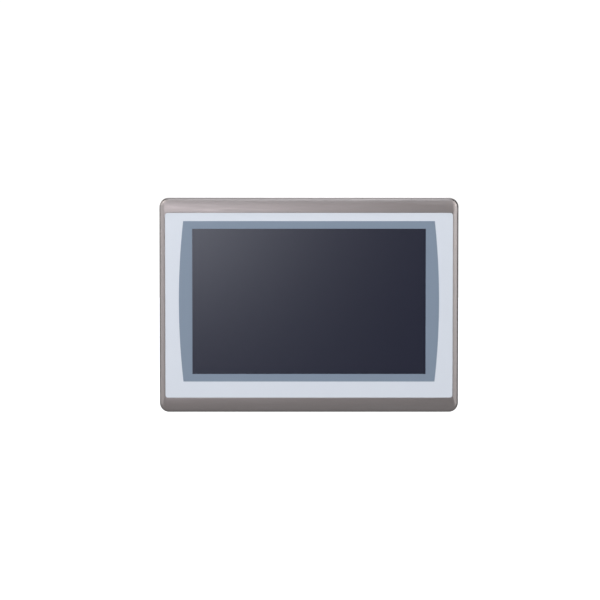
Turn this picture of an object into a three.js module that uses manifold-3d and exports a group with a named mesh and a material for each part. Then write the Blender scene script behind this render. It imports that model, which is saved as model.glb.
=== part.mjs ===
// A 12.1-inch wide touch panel for the door of a control cabinet: a metal bezel with a printed touch
// overlay in front of the door, and the display, electronics and cam levers that hold it behind the door.
// Millimetres. +X is the operator's right, +Y goes into the cabinet and +Z is up.
// The origin is the centre of the door's cut-out, on the door's front surface.
import * as THREE from "three";
import { mergeVertices } from "three/addons/utils/BufferGeometryUtils.js";
import Module from "manifold-3d";

const wasm = await Module();
wasm.setup();

// ---------------------------------------------------------------- driving dimensions

const BEZEL_HALF_WIDTH = 170;
const BEZEL_HALF_HEIGHT = 122;
const BEZEL_CORNER = 10.5;
const BEZEL_BACK_Y = -1;
const RIM_Y = -7; // the bezel's foremost edge, round the overlay's pocket
const ROLL_WIDTH = 4.4; // the rolled outer edge, seen from the front
const ROLL_TOP_Y = -2.4;
const ROLL_DEPTH = 3.1;
const ROLL_END_DEG = 76; // the roll stops short of flat, so the band meets it at a soft crease

const OVERLAY_HALF_WIDTH = 163.3;
const OVERLAY_HALF_HEIGHT = 105;
const OVERLAY_CORNER = 3;
const OVERLAY_THICK = 0.5;
const POCKET_FLOOR_Y = -6.2;
const POCKET_GAP = 0.25; // all round between the overlay and its pocket

const DISPLAY_Z = 4.2; // the display sits this far above the bezel's centre
const WINDOW_HALF_WIDTH = 132.6; // the clear window of the overlay
const WINDOW_HALF_HEIGHT = 82.6;
const OPENING_HALF_WIDTH = 143; // through the bezel, behind the overlay
const OPENING_HALF_HEIGHT = 93.5;

const HOUSING_HALF_WIDTH = 155; // fits a cut-out of 312 x 218
const HOUSING_HALF_HEIGHT = 108;
const HOUSING_CORNER = 5;
const HOUSING_WALL = 2.5;
const HOUSING_FRONT_Y = -0.9;
const HOUSING_BACK_Y = 25;

const COVER_HALF_WIDTH = 112; // the sheet-metal cover over the electronics
const COVER_LOW_Z = -52;
const COVER_HIGH_Z = 80;
const COVER_BACK_Y = 63;
const SHEET = 1.2;
const FLANGE = 10;

const BOARD_Y = 33.1; // front face of the main board
const BOARD_THICK = 1.6;
const PART_Y = BOARD_Y + BOARD_THICK + 0.1; // where a part on the board's rear face starts
const PORT_FACE_Z = COVER_LOW_Z - 0.6; // the connectors stand this far out of the port plate

const GAP = 0.3;

// ---------------------------------------------------------------- shapes and solids

const AXIS_X = new THREE.Vector3(1, 0, 0);
const AXIS_Y = new THREE.Vector3(0, 1, 0);
const AXIS_Z = new THREE.Vector3(0, 0, 1);

function solidOf(geometry) {
  const bare = geometry.index ? geometry.toNonIndexed() : geometry.clone();
  bare.deleteAttribute("normal");
  bare.deleteAttribute("uv");
  const merged = mergeVertices(bare, 1e-4);
  return new wasm.Manifold(
    new wasm.Mesh({
      numProp: 3,
      vertProperties: merged.attributes.position.array,
      triVerts: new Uint32Array(merged.index.array),
    }),
  );
}

function geometryOf(solid) {
  const mesh = solid.getMesh();
  const geometry = new THREE.BufferGeometry();
  geometry.setAttribute("position", new THREE.BufferAttribute(mesh.vertProperties, 3));
  geometry.setIndex(new THREE.BufferAttribute(mesh.triVerts, 1));
  geometry.computeVertexNormals();
  return geometry;
}

function join(...pieces) {
  return geometryOf(pieces.map(solidOf).reduce((sum, piece) => sum.add(piece)));
}

function cut(body, ...tools) {
  const cutter = tools.map(solidOf).reduce((sum, tool) => sum.add(tool));
  return geometryOf(solidOf(body).subtract(cutter));
}

// A shape pushed along an axis. On "y" it is drawn in (x, z), on "z" in (x, y) and on "x" in (y, z).
function prism(shape, axis, from, to, curveSegments = 3) {
  const options = { depth: to - from, bevelEnabled: false, curveSegments };
  const geometry = new THREE.ExtrudeGeometry(shape, options);
  if (axis === "z") return geometry.translate(0, 0, from);
  if (axis === "y") return geometry.rotateX(Math.PI / 2).translate(0, to, 0);
  const turn = new THREE.Matrix4().makeBasis(AXIS_Y, AXIS_Z, AXIS_X);
  return geometry.applyMatrix4(turn).translate(from, 0, 0);
}

function block(x0, x1, y0, y1, z0, z1) {
  const geometry = new THREE.BoxGeometry(x1 - x0, y1 - y0, z1 - z0);
  return geometry.translate((x0 + x1) / 2, (y0 + y1) / 2, (z0 + z1) / 2);
}

// A block given by its middle and its size along X and Z, between two depths.
function pad(x, z, width, height, y0, y1) {
  return block(x - width / 2, x + width / 2, y0, y1, z - height / 2, z + height / 2);
}

// A round rod along Y at (x, z).
function rodY(x, z, radius, y0, y1, sides = 16) {
  const geometry = new THREE.CylinderGeometry(radius, radius, y1 - y0, sides);
  return geometry.translate(x, (y0 + y1) / 2, z);
}

// A round rod along Z at (x, y).
function rodZ(x, y, radius, z0, z1, sides = 16) {
  const geometry = new THREE.CylinderGeometry(radius, radius, z1 - z0, sides);
  return geometry.rotateX(Math.PI / 2).translate(x, y, (z0 + z1) / 2);
}

function roundedRect(halfWidth, halfHeight, radius, x = 0, y = 0) {
  const shape = new THREE.Shape();
  const quarter = Math.PI / 2;
  shape.absarc(x + halfWidth - radius, y + halfHeight - radius, radius, 0, quarter);
  shape.absarc(x - halfWidth + radius, y + halfHeight - radius, radius, quarter, 2 * quarter);
  shape.absarc(x - halfWidth + radius, y - halfHeight + radius, radius, 2 * quarter, 3 * quarter);
  shape.absarc(x + halfWidth - radius, y - halfHeight + radius, radius, 3 * quarter, 4 * quarter);
  shape.closePath();
  return shape;
}

function withHole(shape, hole) {
  shape.holes.push(hole);
  return shape;
}

// A turned part: the profile is [radius, height] pairs from the axis to the axis, along +Y.
function turned(profile, sides = 16) {
  const points = profile.map(([radius, height]) => new THREE.Vector2(radius, height));
  return new THREE.LatheGeometry(points, sides);
}

// ---------------------------------------------------------------- materials

function finish(color, roughness, metalness = 0) {
  return new THREE.MeshStandardMaterial({ color, roughness, metalness });
}

const SATIN_METAL = finish(0xa9a39e, 0.38, 1);
const WHITE_FILM = finish(0xd9dee8, 0.45);
const SCREEN_GLASS = finish(0x2f313e, 0.15);
const BLACK_PLASTIC = finish(0x26282b, 0.6);
const GREY_PLASTIC = finish(0x8b9299, 0.55);
const RUBBER = finish(0x1b1c1e, 0.85);
const ZINC_SHEET = finish(0xb9bdc0, 0.42, 1);
const TINNED_STEEL = finish(0xc9cccf, 0.3, 1);
const ALUMINIUM = finish(0xb2b5b8, 0.4, 1);
const BOARD_GREEN = finish(0x1d5b38, 0.5);
const FLEX_AMBER = finish(0xa9651f, 0.4);
const TERMINAL_GREEN = finish(0x2f8f4e, 0.5);
const LIGHT_PIPE = finish(0xdff2e4, 0.2);
const LABEL_FILM = finish(0xd8dadb, 0.5);

const panel = new THREE.Group();

function addPiece(name, geometry, material, parent = panel) {
  const mesh = new THREE.Mesh(geometry, material);
  mesh.name = name;
  parent.add(mesh);
  return mesh;
}

// ---------------------------------------------------------------- bezel and what it holds in front

// Points round a rounded rectangle that stands in the XZ plane at depth y.
function outline(halfWidth, halfHeight, radius, y, z = 0) {
  const cornerSteps = 6;
  const signs = [[1, 1], [-1, 1], [-1, -1], [1, -1]];
  return signs.flatMap(([signX, signZ], corner) =>
    Array.from({ length: cornerSteps + 1 }, (_, step) => {
      const angle = (corner + step / cornerSteps) * (Math.PI / 2);
      const x = signX * (halfWidth - radius) + radius * Math.cos(angle);
      const up = signZ * (halfHeight - radius) + radius * Math.sin(angle);
      return new THREE.Vector3(x, y, z + up);
    }),
  );
}

// A frame whose section runs through the given outlines, the last one joined to the first.
function frameThrough(loops) {
  const count = loops[0].length;
  const index = [];
  for (let i = 0; i < loops.length; i++) {
    const next = (i + 1) % loops.length;
    for (let k = 0; k < count; k++) {
      const a = i * count + k;
      const b = i * count + ((k + 1) % count);
      const c = next * count + ((k + 1) % count);
      const d = next * count + k;
      index.push(a, b, c, a, c, d);
    }
  }
  const geometry = new THREE.BufferGeometry().setFromPoints(loops.flat());
  return geometry.setIndex(index);
}

function bezelOutline(inset, y) {
  return outline(BEZEL_HALF_WIDTH - inset, BEZEL_HALF_HEIGHT - inset, BEZEL_CORNER - inset, y);
}

const HOUSING_SCREWS = [[-146.5, 99.5], [146.5, 99.5], [-146.5, -99.5], [146.5, -99.5]];
const THREAD_RADIUS = 1.65; // of the tapped holes and inserts that the screws go into
const BEZEL_THREAD_END_Y = -5;
const OPENING_CORNER = 4;
const SEAL_GROOVE_Y = -2.2;
const SEAL_INNER = [157.2, 110.2]; // half width and half height of the seal's inner edge
const SEAL_WIDTH = 6.5;
const SEAL_INNER_CORNER = 5;
const SEAL_OUTER_CORNER = 8;

function bezelFrame() {
  const rollSteps = 4;
  const roll = Array.from({ length: rollSteps + 1 }, (_, step) => {
    const angle = THREE.MathUtils.degToRad((ROLL_END_DEG * step) / rollSteps);
    return bezelOutline(ROLL_WIDTH * (1 - Math.cos(angle)), ROLL_TOP_Y - ROLL_DEPTH * Math.sin(angle));
  });
  const pocket = (y) =>
    outline(OVERLAY_HALF_WIDTH + POCKET_GAP, OVERLAY_HALF_HEIGHT + POCKET_GAP, OVERLAY_CORNER, y);
  const opening = (y) =>
    outline(OPENING_HALF_WIDTH, OPENING_HALF_HEIGHT, OPENING_CORNER, y, DISPLAY_Z);
  const grooveInner = (y) =>
    outline(SEAL_INNER[0] - GAP, SEAL_INNER[1] - GAP, SEAL_INNER_CORNER, y);
  const outerReach = SEAL_WIDTH + GAP;
  const grooveOuter = (y) =>
    outline(SEAL_INNER[0] + outerReach, SEAL_INNER[1] + outerReach, SEAL_OUTER_CORNER, y);
  const body = frameThrough([
    bezelOutline(0, BEZEL_BACK_Y),
    ...roll,
    pocket(RIM_Y),
    pocket(POCKET_FLOOR_Y),
    opening(POCKET_FLOOR_Y),
    opening(BEZEL_BACK_Y),
    grooveInner(BEZEL_BACK_Y),
    grooveInner(SEAL_GROOVE_Y),
    grooveOuter(SEAL_GROOVE_Y),
    grooveOuter(BEZEL_BACK_Y),
  ]);
  const threads = HOUSING_SCREWS.map(([x, z]) => rodY(x, z, THREAD_RADIUS, BEZEL_THREAD_END_Y, 0, 10));
  return cut(body, ...threads);
}

addPiece("bezel_frame", bezelFrame(), SATIN_METAL);

addPiece(
  "front_overlay",
  prism(
    roundedRect(OVERLAY_HALF_WIDTH, OVERLAY_HALF_HEIGHT, OVERLAY_CORNER),
    "y",
    POCKET_FLOOR_Y - OVERLAY_THICK,
    POCKET_FLOOR_Y,
  ),
  WHITE_FILM,
);

const TOUCH_FRONT_Y = -6.05;
const TOUCH_BACK_Y = -3.85;
const TOUCH_HALF = [140, 90];
const GLASS_CORNER = 1.5;
addPiece(
  "touch_sensor",
  prism(
    roundedRect(TOUCH_HALF[0], TOUCH_HALF[1], GLASS_CORNER, 0, DISPLAY_Z),
    "y",
    TOUCH_FRONT_Y,
    TOUCH_BACK_Y,
  ),
  SCREEN_GLASS,
);

// The sensor's flat flex tail: down from its rear face, back past the display and up to the board.
const TAIL_X = -60;
const TAIL_WIDTH = 14;
const TAIL_THICK = 0.4;

function ribbon(x, width, thick, points) {
  const route = points.map(([y, z]) => new THREE.Vector2(y, z));
  const offset = (side) =>
    route.map((point, i) => {
      const before = route[Math.max(i - 1, 0)];
      const after = route[Math.min(i + 1, route.length - 1)];
      const along = after.clone().sub(before).normalize();
      const across = new THREE.Vector2(-along.y, along.x).multiplyScalar((side * thick) / 2);
      return point.clone().add(across);
    });
  const shape = new THREE.Shape([...offset(1), ...offset(-1).reverse()]);
  return prism(shape, "x", x - width / 2, x + width / 2);
}

const SENSOR_LOW_Z = DISPLAY_Z - TOUCH_HALF[1];
addPiece(
  "touch_tail",
  ribbon(TAIL_X, TAIL_WIDTH, TAIL_THICK, [
    [TOUCH_BACK_Y + 0.4, SENSOR_LOW_Z + 1.5],
    [TOUCH_BACK_Y + 0.4, SENSOR_LOW_Z - 1.8],
    [TOUCH_BACK_Y + 1.2, SENSOR_LOW_Z - 2.7],
    [6, SENSOR_LOW_Z - 2.7],
    [8.5, SENSOR_LOW_Z - 1.5],
    [10, SENSOR_LOW_Z + 2],
    [12, -40],
    [15, -28],
    [22, -24],
    [BOARD_Y - 0.7, -23],
  ]),
  FLEX_AMBER,
);

const GASKET_HALF = [137.5, 87.5];
const GASKET_MARGIN = 1.4; // between the clear window and the gasket's inner edge
const GASKET_FRONT_Y = -3.3;
const GASKET_BACK_Y = -2.6;
addPiece(
  "display_gasket",
  prism(
    withHole(
      roundedRect(GASKET_HALF[0], GASKET_HALF[1], GLASS_CORNER, 0, DISPLAY_Z),
      roundedRect(WINDOW_HALF_WIDTH + GASKET_MARGIN, WINDOW_HALF_HEIGHT + GASKET_MARGIN, 1, 0, DISPLAY_Z),
    ),
    "y",
    GASKET_FRONT_Y,
    GASKET_BACK_Y,
  ),
  RUBBER,
);

// ---------------------------------------------------------------- display module

const LCD_HALF = [139, 91];
const LCD_FRONT_Y = -2.5;
const LCD_BACK_Y = 7;
const LCD_SHELL = 0.7;
const LCD_WINDOW = [265.8, 165.8];
const CELL_SIZE = [272, 175];
const CELL_Y0 = -1.7;
const CELL_Y1 = 0.1;
const BACKLIGHT_SIZE = [276, 180];
const BACKLIGHT_POCKET = [250, 150]; // in its rear, for the display's own circuits
const BACKLIGHT_Y0 = 0.2;
const BACKLIGHT_Y1 = 6.8;
const BACKLIGHT_POCKET_Y = 5.4;

function displayFrame() {
  const outer = block(
    -LCD_HALF[0], LCD_HALF[0], LCD_FRONT_Y, LCD_BACK_Y,
    DISPLAY_Z - LCD_HALF[1], DISPLAY_Z + LCD_HALF[1],
  );
  const inside = block(
    -LCD_HALF[0] + LCD_SHELL, LCD_HALF[0] - LCD_SHELL, LCD_FRONT_Y + LCD_SHELL, LCD_BACK_Y + 1,
    DISPLAY_Z - LCD_HALF[1] + LCD_SHELL, DISPLAY_Z + LCD_HALF[1] - LCD_SHELL,
  );
  const window = pad(0, DISPLAY_Z, ...LCD_WINDOW, LCD_FRONT_Y - 1, LCD_FRONT_Y + 2);
  return cut(outer, inside, window);
}

addPiece("lcd_frame", displayFrame(), TINNED_STEEL);
addPiece("lcd_cell", pad(0, DISPLAY_Z, ...CELL_SIZE, CELL_Y0, CELL_Y1), SCREEN_GLASS);
addPiece(
  "backlight_unit",
  cut(
    pad(0, DISPLAY_Z, ...BACKLIGHT_SIZE, BACKLIGHT_Y0, BACKLIGHT_Y1),
    pad(0, DISPLAY_Z, ...BACKLIGHT_POCKET, BACKLIGHT_POCKET_Y, LCD_BACK_Y + 1),
  ),
  finish(0xe6e7e4, 0.5),
);

const CABLE_X = 40;
const CABLE_WIDTH = 26;
const CABLE_THICK = 0.6;
addPiece(
  "display_cable",
  ribbon(CABLE_X, CABLE_WIDTH, CABLE_THICK, [
    [5.9, 44],
    [10, 43],
    [13, 38],
    [14, 20],
    [16, 14],
    [21, 12],
    [BOARD_Y - 0.7, 11.5],
  ]),
  finish(0x9a9da0, 0.6),
);

// ---------------------------------------------------------------- seal and rear housing

addPiece(
  "panel_gasket",
  prism(
    withHole(
      roundedRect(SEAL_INNER[0] + SEAL_WIDTH, SEAL_INNER[1] + SEAL_WIDTH, SEAL_OUTER_CORNER),
      roundedRect(SEAL_INNER[0], SEAL_INNER[1], SEAL_INNER_CORNER),
    ),
    "y",
    SEAL_GROOVE_Y + 0.05,
    0,
  ),
  RUBBER,
);

// Where each cam lever pivots: [x, z] on the housing's outer wall, and its turn about Y from the top wall.
const LEVER_Y = 12;
const LEVERS = [
  { x: -105, z: HOUSING_HALF_HEIGHT, turn: 0 },
  { x: 0, z: HOUSING_HALF_HEIGHT, turn: 0 },
  { x: 105, z: HOUSING_HALF_HEIGHT, turn: 0 },
  { x: -105, z: -HOUSING_HALF_HEIGHT, turn: Math.PI },
  { x: 0, z: -HOUSING_HALF_HEIGHT, turn: Math.PI },
  { x: 105, z: -HOUSING_HALF_HEIGHT, turn: Math.PI },
  { x: -HOUSING_HALF_WIDTH, z: 0, turn: -Math.PI / 2 },
  { x: HOUSING_HALF_WIDTH, z: 0, turn: Math.PI / 2 },
];
const STEM_RADIUS = 2.8;
const STEM_FLANGE_RADIUS = 4.3;
const KEYHOLE_Y = 17.6; // the wide end, where a lever's flange goes in

function keyhole(lever) {
  const slotHalf = STEM_RADIUS + GAP;
  const tool = join(
    rodZ(0, KEYHOLE_Y, STEM_FLANGE_RADIUS + 0.5, -4, 4, 12),
    rodZ(0, LEVER_Y, slotHalf, -4, 4, 12),
    block(-slotHalf, slotHalf, LEVER_Y, KEYHOLE_Y, -4, 4),
  );
  return tool.rotateY(lever.turn).translate(lever.x, 0, lever.z);
}

const COVER_SCREWS = [
  [-117, -14], [-117, 30], [-117, 72],
  [117, -42], [117, 14], [117, 72],
  [-60, 85], [60, 85],
];
const GROUND_SCREW = [-117, -42];

const BATTERY = { x: -138.6, z: 40, halfWidth: 12.4, halfHeight: 16 };
const WELL_FLOOR_Y = 14;
const WELL_WALL = 1.2;
const DOOR_THICK = 2;

const COLUMN_RADIUS = 4.2; // the screw columns that reach forward to the bezel
const SCREW_CLEARANCE = 1.8;
const SCREW_SEAT_Y = 21.9;
const SCREW_SEAT_RADIUS = 3.3;
const BOSS_RADIUS = 3.8; // the short bosses that take the cover's screws
const BOSS_LOW_Y = 16.5;
const GROUND_THREAD_RADIUS = 2.2;
const POST = { x: 125, z: 84, width: 12, height: 8 }; // rests on the display's back
const CABLE_OPENING = { z: 12, width: 170, height: 84 };
const TOP_VENTS = { count: 12, first: 20, pitch: 9, z: 98.5, width: 3.2, height: 9 };
const LOW_VENTS = { count: 4, x: 62, first: -72, pitch: -8, width: 76, height: 3.2 };

// Makes count items, numbered from 0, on each side: side is -1 on the left and 1 on the right.
function onBothSides(count, make) {
  return [-1, 1].flatMap((side) => Array.from({ length: count }, (_, i) => make(side, i)));
}

function rearHousing() {
  const half = [HOUSING_HALF_WIDTH, HOUSING_HALF_HEIGHT];
  const plateY = HOUSING_BACK_Y - HOUSING_WALL;
  const shell = cut(
    prism(roundedRect(half[0], half[1], HOUSING_CORNER), "y", HOUSING_FRONT_Y, HOUSING_BACK_Y),
    prism(
      roundedRect(half[0] - HOUSING_WALL, half[1] - HOUSING_WALL, HOUSING_CORNER - HOUSING_WALL),
      "y",
      HOUSING_FRONT_Y - 1,
      plateY,
    ),
  );
  const columns = HOUSING_SCREWS.map(([x, z]) =>
    rodY(x, z, COLUMN_RADIUS, HOUSING_FRONT_Y, plateY + 0.5, 10));
  const bosses = [...COVER_SCREWS, GROUND_SCREW].map(([x, z]) =>
    rodY(x, z, BOSS_RADIUS, BOSS_LOW_Y, plateY + 0.5, 8));
  const posts = [-1, 1].flatMap((sx) =>
    [-1, 1].map((sz) =>
      pad(sx * POST.x, DISPLAY_Z + sz * POST.z, POST.width, POST.height, LCD_BACK_Y + 0.1, plateY + 0.5)),
  );
  const well = pad(
    BATTERY.x, BATTERY.z,
    2 * (BATTERY.halfWidth + WELL_WALL), 2 * (BATTERY.halfHeight + WELL_WALL),
    WELL_FLOOR_Y - WELL_WALL, plateY + 0.5,
  );
  const solid = join(shell, ...columns, ...bosses, ...posts, well);

  const outside = HOUSING_BACK_Y + 1;
  const threadEnd = BOSS_LOW_Y + 1;
  const screwHoles = HOUSING_SCREWS.flatMap(([x, z]) => [
    rodY(x, z, SCREW_CLEARANCE, -2, outside, 10),
    rodY(x, z, SCREW_SEAT_RADIUS, SCREW_SEAT_Y, outside, 12),
  ]);
  const insertHoles = COVER_SCREWS.map(([x, z]) => rodY(x, z, THREAD_RADIUS, threadEnd, outside, 8));
  const groundHole = rodY(...GROUND_SCREW, GROUND_THREAD_RADIUS, threadEnd, outside, 10);
  const wellHollow = pad(
    BATTERY.x, BATTERY.z, 2 * BATTERY.halfWidth, 2 * BATTERY.halfHeight, WELL_FLOOR_Y, outside,
  );
  const cableOpening = pad(0, CABLE_OPENING.z, CABLE_OPENING.width, CABLE_OPENING.height, 15, outside);
  const topVents = onBothSides(TOP_VENTS.count, (side, i) => {
    const { first, pitch, z, width, height } = TOP_VENTS;
    return pad(side * (first + pitch * i), z, width, height, 20, outside);
  });
  const lowVents = onBothSides(LOW_VENTS.count, (side, i) => {
    const { x, first, pitch, width, height } = LOW_VENTS;
    return pad(side * x, first + pitch * i, width, height, 20, outside);
  });
  return cut(
    solid,
    ...screwHoles,
    ...insertHoles,
    groundHole,
    wellHollow,
    cableOpening,
    ...topVents,
    ...lowVents,
    ...LEVERS.map(keyhole),
  );
}

addPiece("rear_housing", rearHousing(), BLACK_PLASTIC);

// ---------------------------------------------------------------- cam levers

// Unlocked, the arm points into the cabinet and the cam stays clear of the door's edge. Turned a
// quarter, the lobe presses on the door.
const LEVER_THICK = 6;
const ARM_HALF_WIDTH = 4.2;
const ARM_END_Y = 27;
const HUB_RADIUS = 6;
const LOBE_RADIUS = 10.3;

function leverGeometry() {
  const shape = new THREE.Shape();
  const camFrom = -100;
  const camSteps = 8;
  for (let step = 0; step <= camSteps; step++) {
    const share = step / camSteps;
    const angle = THREE.MathUtils.degToRad(camFrom * (1 - share));
    const radius = HUB_RADIUS + (LOBE_RADIUS - HUB_RADIUS) * share;
    const point = [radius * Math.cos(angle), radius * Math.sin(angle)];
    if (step === 0) shape.moveTo(...point);
    else shape.lineTo(...point);
  }
  shape.lineTo(9, 4);
  shape.lineTo(ARM_HALF_WIDTH, 9.5);
  shape.absarc(0, ARM_END_Y, ARM_HALF_WIDTH, 0, Math.PI);
  const hubAngle = Math.PI - Math.asin(4.28 / HUB_RADIUS);
  shape.absarc(0, 0, HUB_RADIUS, hubAngle, THREE.MathUtils.degToRad(camFrom + 360));
  shape.closePath();
  return join(
    prism(shape, "z", GAP, GAP + LEVER_THICK, 4),
    rodZ(0, 0, STEM_RADIUS, -HOUSING_WALL - GAP - 0.1, GAP + 1, 12),
    rodZ(0, 0, STEM_FLANGE_RADIUS, -HOUSING_WALL - GAP - 1.5, -HOUSING_WALL - GAP, 12),
    block(-ARM_HALF_WIDTH, ARM_HALF_WIDTH, ARM_END_Y - 1, ARM_END_Y + 1.5, LEVER_THICK, LEVER_THICK + 1.6),
  );
}

const lever = leverGeometry();
LEVERS.forEach(({ x, z, turn }, i) => {
  const mesh = addPiece(`mounting_lever_${i + 1}`, lever, GREY_PLASTIC);
  mesh.position.set(x, LEVER_Y, z);
  mesh.rotation.y = turn;
});

// ---------------------------------------------------------------- screws

// A pan-head screw along Y: the head's underside is at y = 0, the shank goes to -Y.
function panScrew(headRadius, headHeight, shankRadius, length) {
  return turned(
    [
      [0, -length],
      [shankRadius, -length],
      [shankRadius, 0],
      [headRadius, 0],
      [headRadius, headHeight * 0.45],
      [headRadius * 0.72, headHeight],
      [0, headHeight],
    ],
    10,
  );
}

function driveSlot(radius, height, y) {
  return [
    block(-radius, radius, y - height, y + 1, -0.4, 0.4),
    block(-0.4, 0.4, y - height, y + 1, -radius, radius),
  ];
}

const housingScrew = cut(panScrew(2.9, 2.3, 1.45, 26.4), ...driveSlot(1.6, 1.2, 2.3));
HOUSING_SCREWS.forEach(([x, z], i) => {
  addPiece(`housing_screw_${i + 1}`, housingScrew, TINNED_STEEL).position.set(x, 21.95, z);
});

const coverScrew = cut(panScrew(2.8, 2, 1.45, 7), ...driveSlot(1.6, 1.1, 2));
COVER_SCREWS.forEach(([x, z], i) => {
  const seatY = HOUSING_BACK_Y + SHEET + 0.05;
  addPiece(`cover_screw_${i + 1}`, coverScrew, TINNED_STEEL).position.set(x, seatY, z);
});

const groundScrew = join(
  cut(panScrew(3.6, 2.6, 1.95, 8), ...driveSlot(2.2, 1.4, 2.6)),
  new THREE.CylinderGeometry(4.3, 4.3, 0.8, 12).translate(0, 0.2, 0),
);
addPiece("ground_screw", groundScrew, finish(0xb98f3c, 0.35, 1)).position.set(
  GROUND_SCREW[0],
  HOUSING_BACK_Y + SHEET + 0.3,
  GROUND_SCREW[1],
);

// ---------------------------------------------------------------- electronics cover and port plate

const STATUS_LIGHTS = [[-102, 62], [-102, 53]];
const RESET = [-102, 43];
const SD_Z = 40;
const SD_SLOT = { y0: PART_Y - 0.1, y1: PART_Y + 3.4, halfHeight: 13 };

const REAR_VENTS = { xs: [-56, 0, 56], rows: 6, first: 33, pitch: 7, width: 46, height: 3 };
const COVER_TOP_VENTS = { count: 15, first: -84, pitch: 12, y0: 33, y1: 56 };
const SIDE_VENTS = { count: 6, first: 6, pitch: 12, y0: 43, y1: 58 };
const VENT_HALF = 1.5;
const COVER_CORNER = 2.5;
const HOLE_RADII = { screw: 1.8, ground: 2.3, light: 1.8, reset: 2.1 };

function coverVents() {
  const rear = REAR_VENTS.xs.flatMap((x) =>
    Array.from({ length: REAR_VENTS.rows }, (_, row) => {
      const z = REAR_VENTS.first + REAR_VENTS.pitch * row;
      return pad(x, z, REAR_VENTS.width, REAR_VENTS.height, COVER_BACK_Y - 3, COVER_BACK_Y + 1);
    }),
  );
  const top = Array.from({ length: COVER_TOP_VENTS.count }, (_, i) => {
    const { first, pitch, y0, y1 } = COVER_TOP_VENTS;
    const x = first + pitch * i;
    return block(x - VENT_HALF, x + VENT_HALF, y0, y1, COVER_HIGH_Z - 3, COVER_HIGH_Z + 2);
  });
  const sides = onBothSides(SIDE_VENTS.count, (side, i) => {
    const { first, pitch, y0, y1 } = SIDE_VENTS;
    const x = side * COVER_HALF_WIDTH;
    const z = first + pitch * i;
    return block(x - 3, x + 3, y0, y1, z - VENT_HALF, z + VENT_HALF);
  });
  return [...rear, ...top, ...sides];
}

function logicCover() {
  const back = HOUSING_BACK_Y;
  const middleZ = (COVER_LOW_Z + COVER_HIGH_Z) / 2;
  const halfZ = (COVER_HIGH_Z - COVER_LOW_Z) / 2;
  const face = roundedRect(COVER_HALF_WIDTH, halfZ, COVER_CORNER, 0, middleZ);
  const box = prism(face, "y", back + 0.05, COVER_BACK_Y);
  const reach = COVER_HALF_WIDTH + FLANGE;
  const flange = block(-reach, reach, back + 0.05, back + SHEET, COVER_LOW_Z, COVER_HIGH_Z + FLANGE);
  const hollow = prism(
    roundedRect(COVER_HALF_WIDTH - SHEET, halfZ - SHEET, COVER_CORNER - SHEET, 0, middleZ),
    "y",
    back - 1,
    COVER_BACK_Y - SHEET,
  );
  const portSide = block(
    -COVER_HALF_WIDTH + SHEET, COVER_HALF_WIDTH - SHEET, back - 1, COVER_BACK_Y - SHEET,
    COVER_LOW_Z - 1, COVER_LOW_Z + 4,
  );
  const holes = [
    ...COVER_SCREWS.map(([x, z]) => rodY(x, z, HOLE_RADII.screw, back - 1, back + 3, 10)),
    rodY(...GROUND_SCREW, HOLE_RADII.ground, back - 1, back + 3, 10),
    ...STATUS_LIGHTS.map(([x, z]) =>
      rodY(x, z, HOLE_RADII.light, COVER_BACK_Y - 3, COVER_BACK_Y + 1, 12)),
    rodY(...RESET, HOLE_RADII.reset, COVER_BACK_Y - 3, COVER_BACK_Y + 1, 12),
    block(
      COVER_HALF_WIDTH - 4, COVER_HALF_WIDTH + 2, SD_SLOT.y0, SD_SLOT.y1,
      SD_Z - SD_SLOT.halfHeight, SD_Z + SD_SLOT.halfHeight,
    ),
  ];
  return cut(join(box, flange), hollow, portSide, ...holes, ...coverVents());
}

addPiece("logic_cover", logicCover(), ZINC_SHEET);

const RATING = { x: 38, z: -12, width: 104, height: 44, y0: COVER_BACK_Y + 0.05, y1: COVER_BACK_Y + 0.35 };
addPiece(
  "rating_label",
  pad(RATING.x, RATING.z, RATING.width, RATING.height, RATING.y0, RATING.y1),
  LABEL_FILM,
);

// Sockets on the board's lower edge, with their mouths in the port plate: middle, width, depth and length.
const ETHERNET = { xs: [26, 49], width: 16, depth: 13.4, length: 21 };
const USB_HOST = { xs: [-36, -15], width: 13.2, depth: 6.6, length: 14 };
const USB_DEVICE = { xs: [-57], width: 12, depth: 10.8, length: 16 };
const POWER = { xs: [-84], width: 19.4, depth: 11.6, length: 12.4 };

const PORT_VENTS = { count: 4, first: 75, pitch: 8, width: 3, y0: 33, y1: 55 };

function portPlate() {
  const side = COVER_HALF_WIDTH - SHEET - GAP;
  const plate = block(
    -side, side, HOUSING_BACK_Y + 1.5, COVER_BACK_Y - SHEET - GAP, COVER_LOW_Z, COVER_LOW_Z + SHEET,
  );
  const mouths = [ETHERNET, USB_HOST, USB_DEVICE, POWER].flatMap(({ xs, width, depth }) =>
    xs.map((x) =>
      block(
        x - width / 2 - GAP, x + width / 2 + GAP, PART_Y - GAP, PART_Y + depth + GAP,
        COVER_LOW_Z - 1, COVER_LOW_Z + 3,
      ),
    ),
  );
  const vents = Array.from({ length: PORT_VENTS.count }, (_, i) => {
    const { first, pitch, width, y0, y1 } = PORT_VENTS;
    const x = first + pitch * i;
    return block(x, x + width, y0, y1, COVER_LOW_Z - 1, COVER_LOW_Z + 3);
  });
  return cut(plate, ...mouths, ...vents);
}

addPiece("port_plate", portPlate(), ZINC_SHEET);

// ---------------------------------------------------------------- tray, board and what stands on it

const BOARD_HALF_WIDTH = 106;
const BOARD_LOW_Z = -44;
const BOARD_HIGH_Z = 73;
const STUDS = [[-100, -38], [100, -38], [-100, 68], [100, 68]];
const STUD_RADIUS = 2.8;
const STUD_THREAD_RADIUS = 1.4;
const TRAY = { halfWidth: 109, low: -47, high: 77 };

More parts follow.
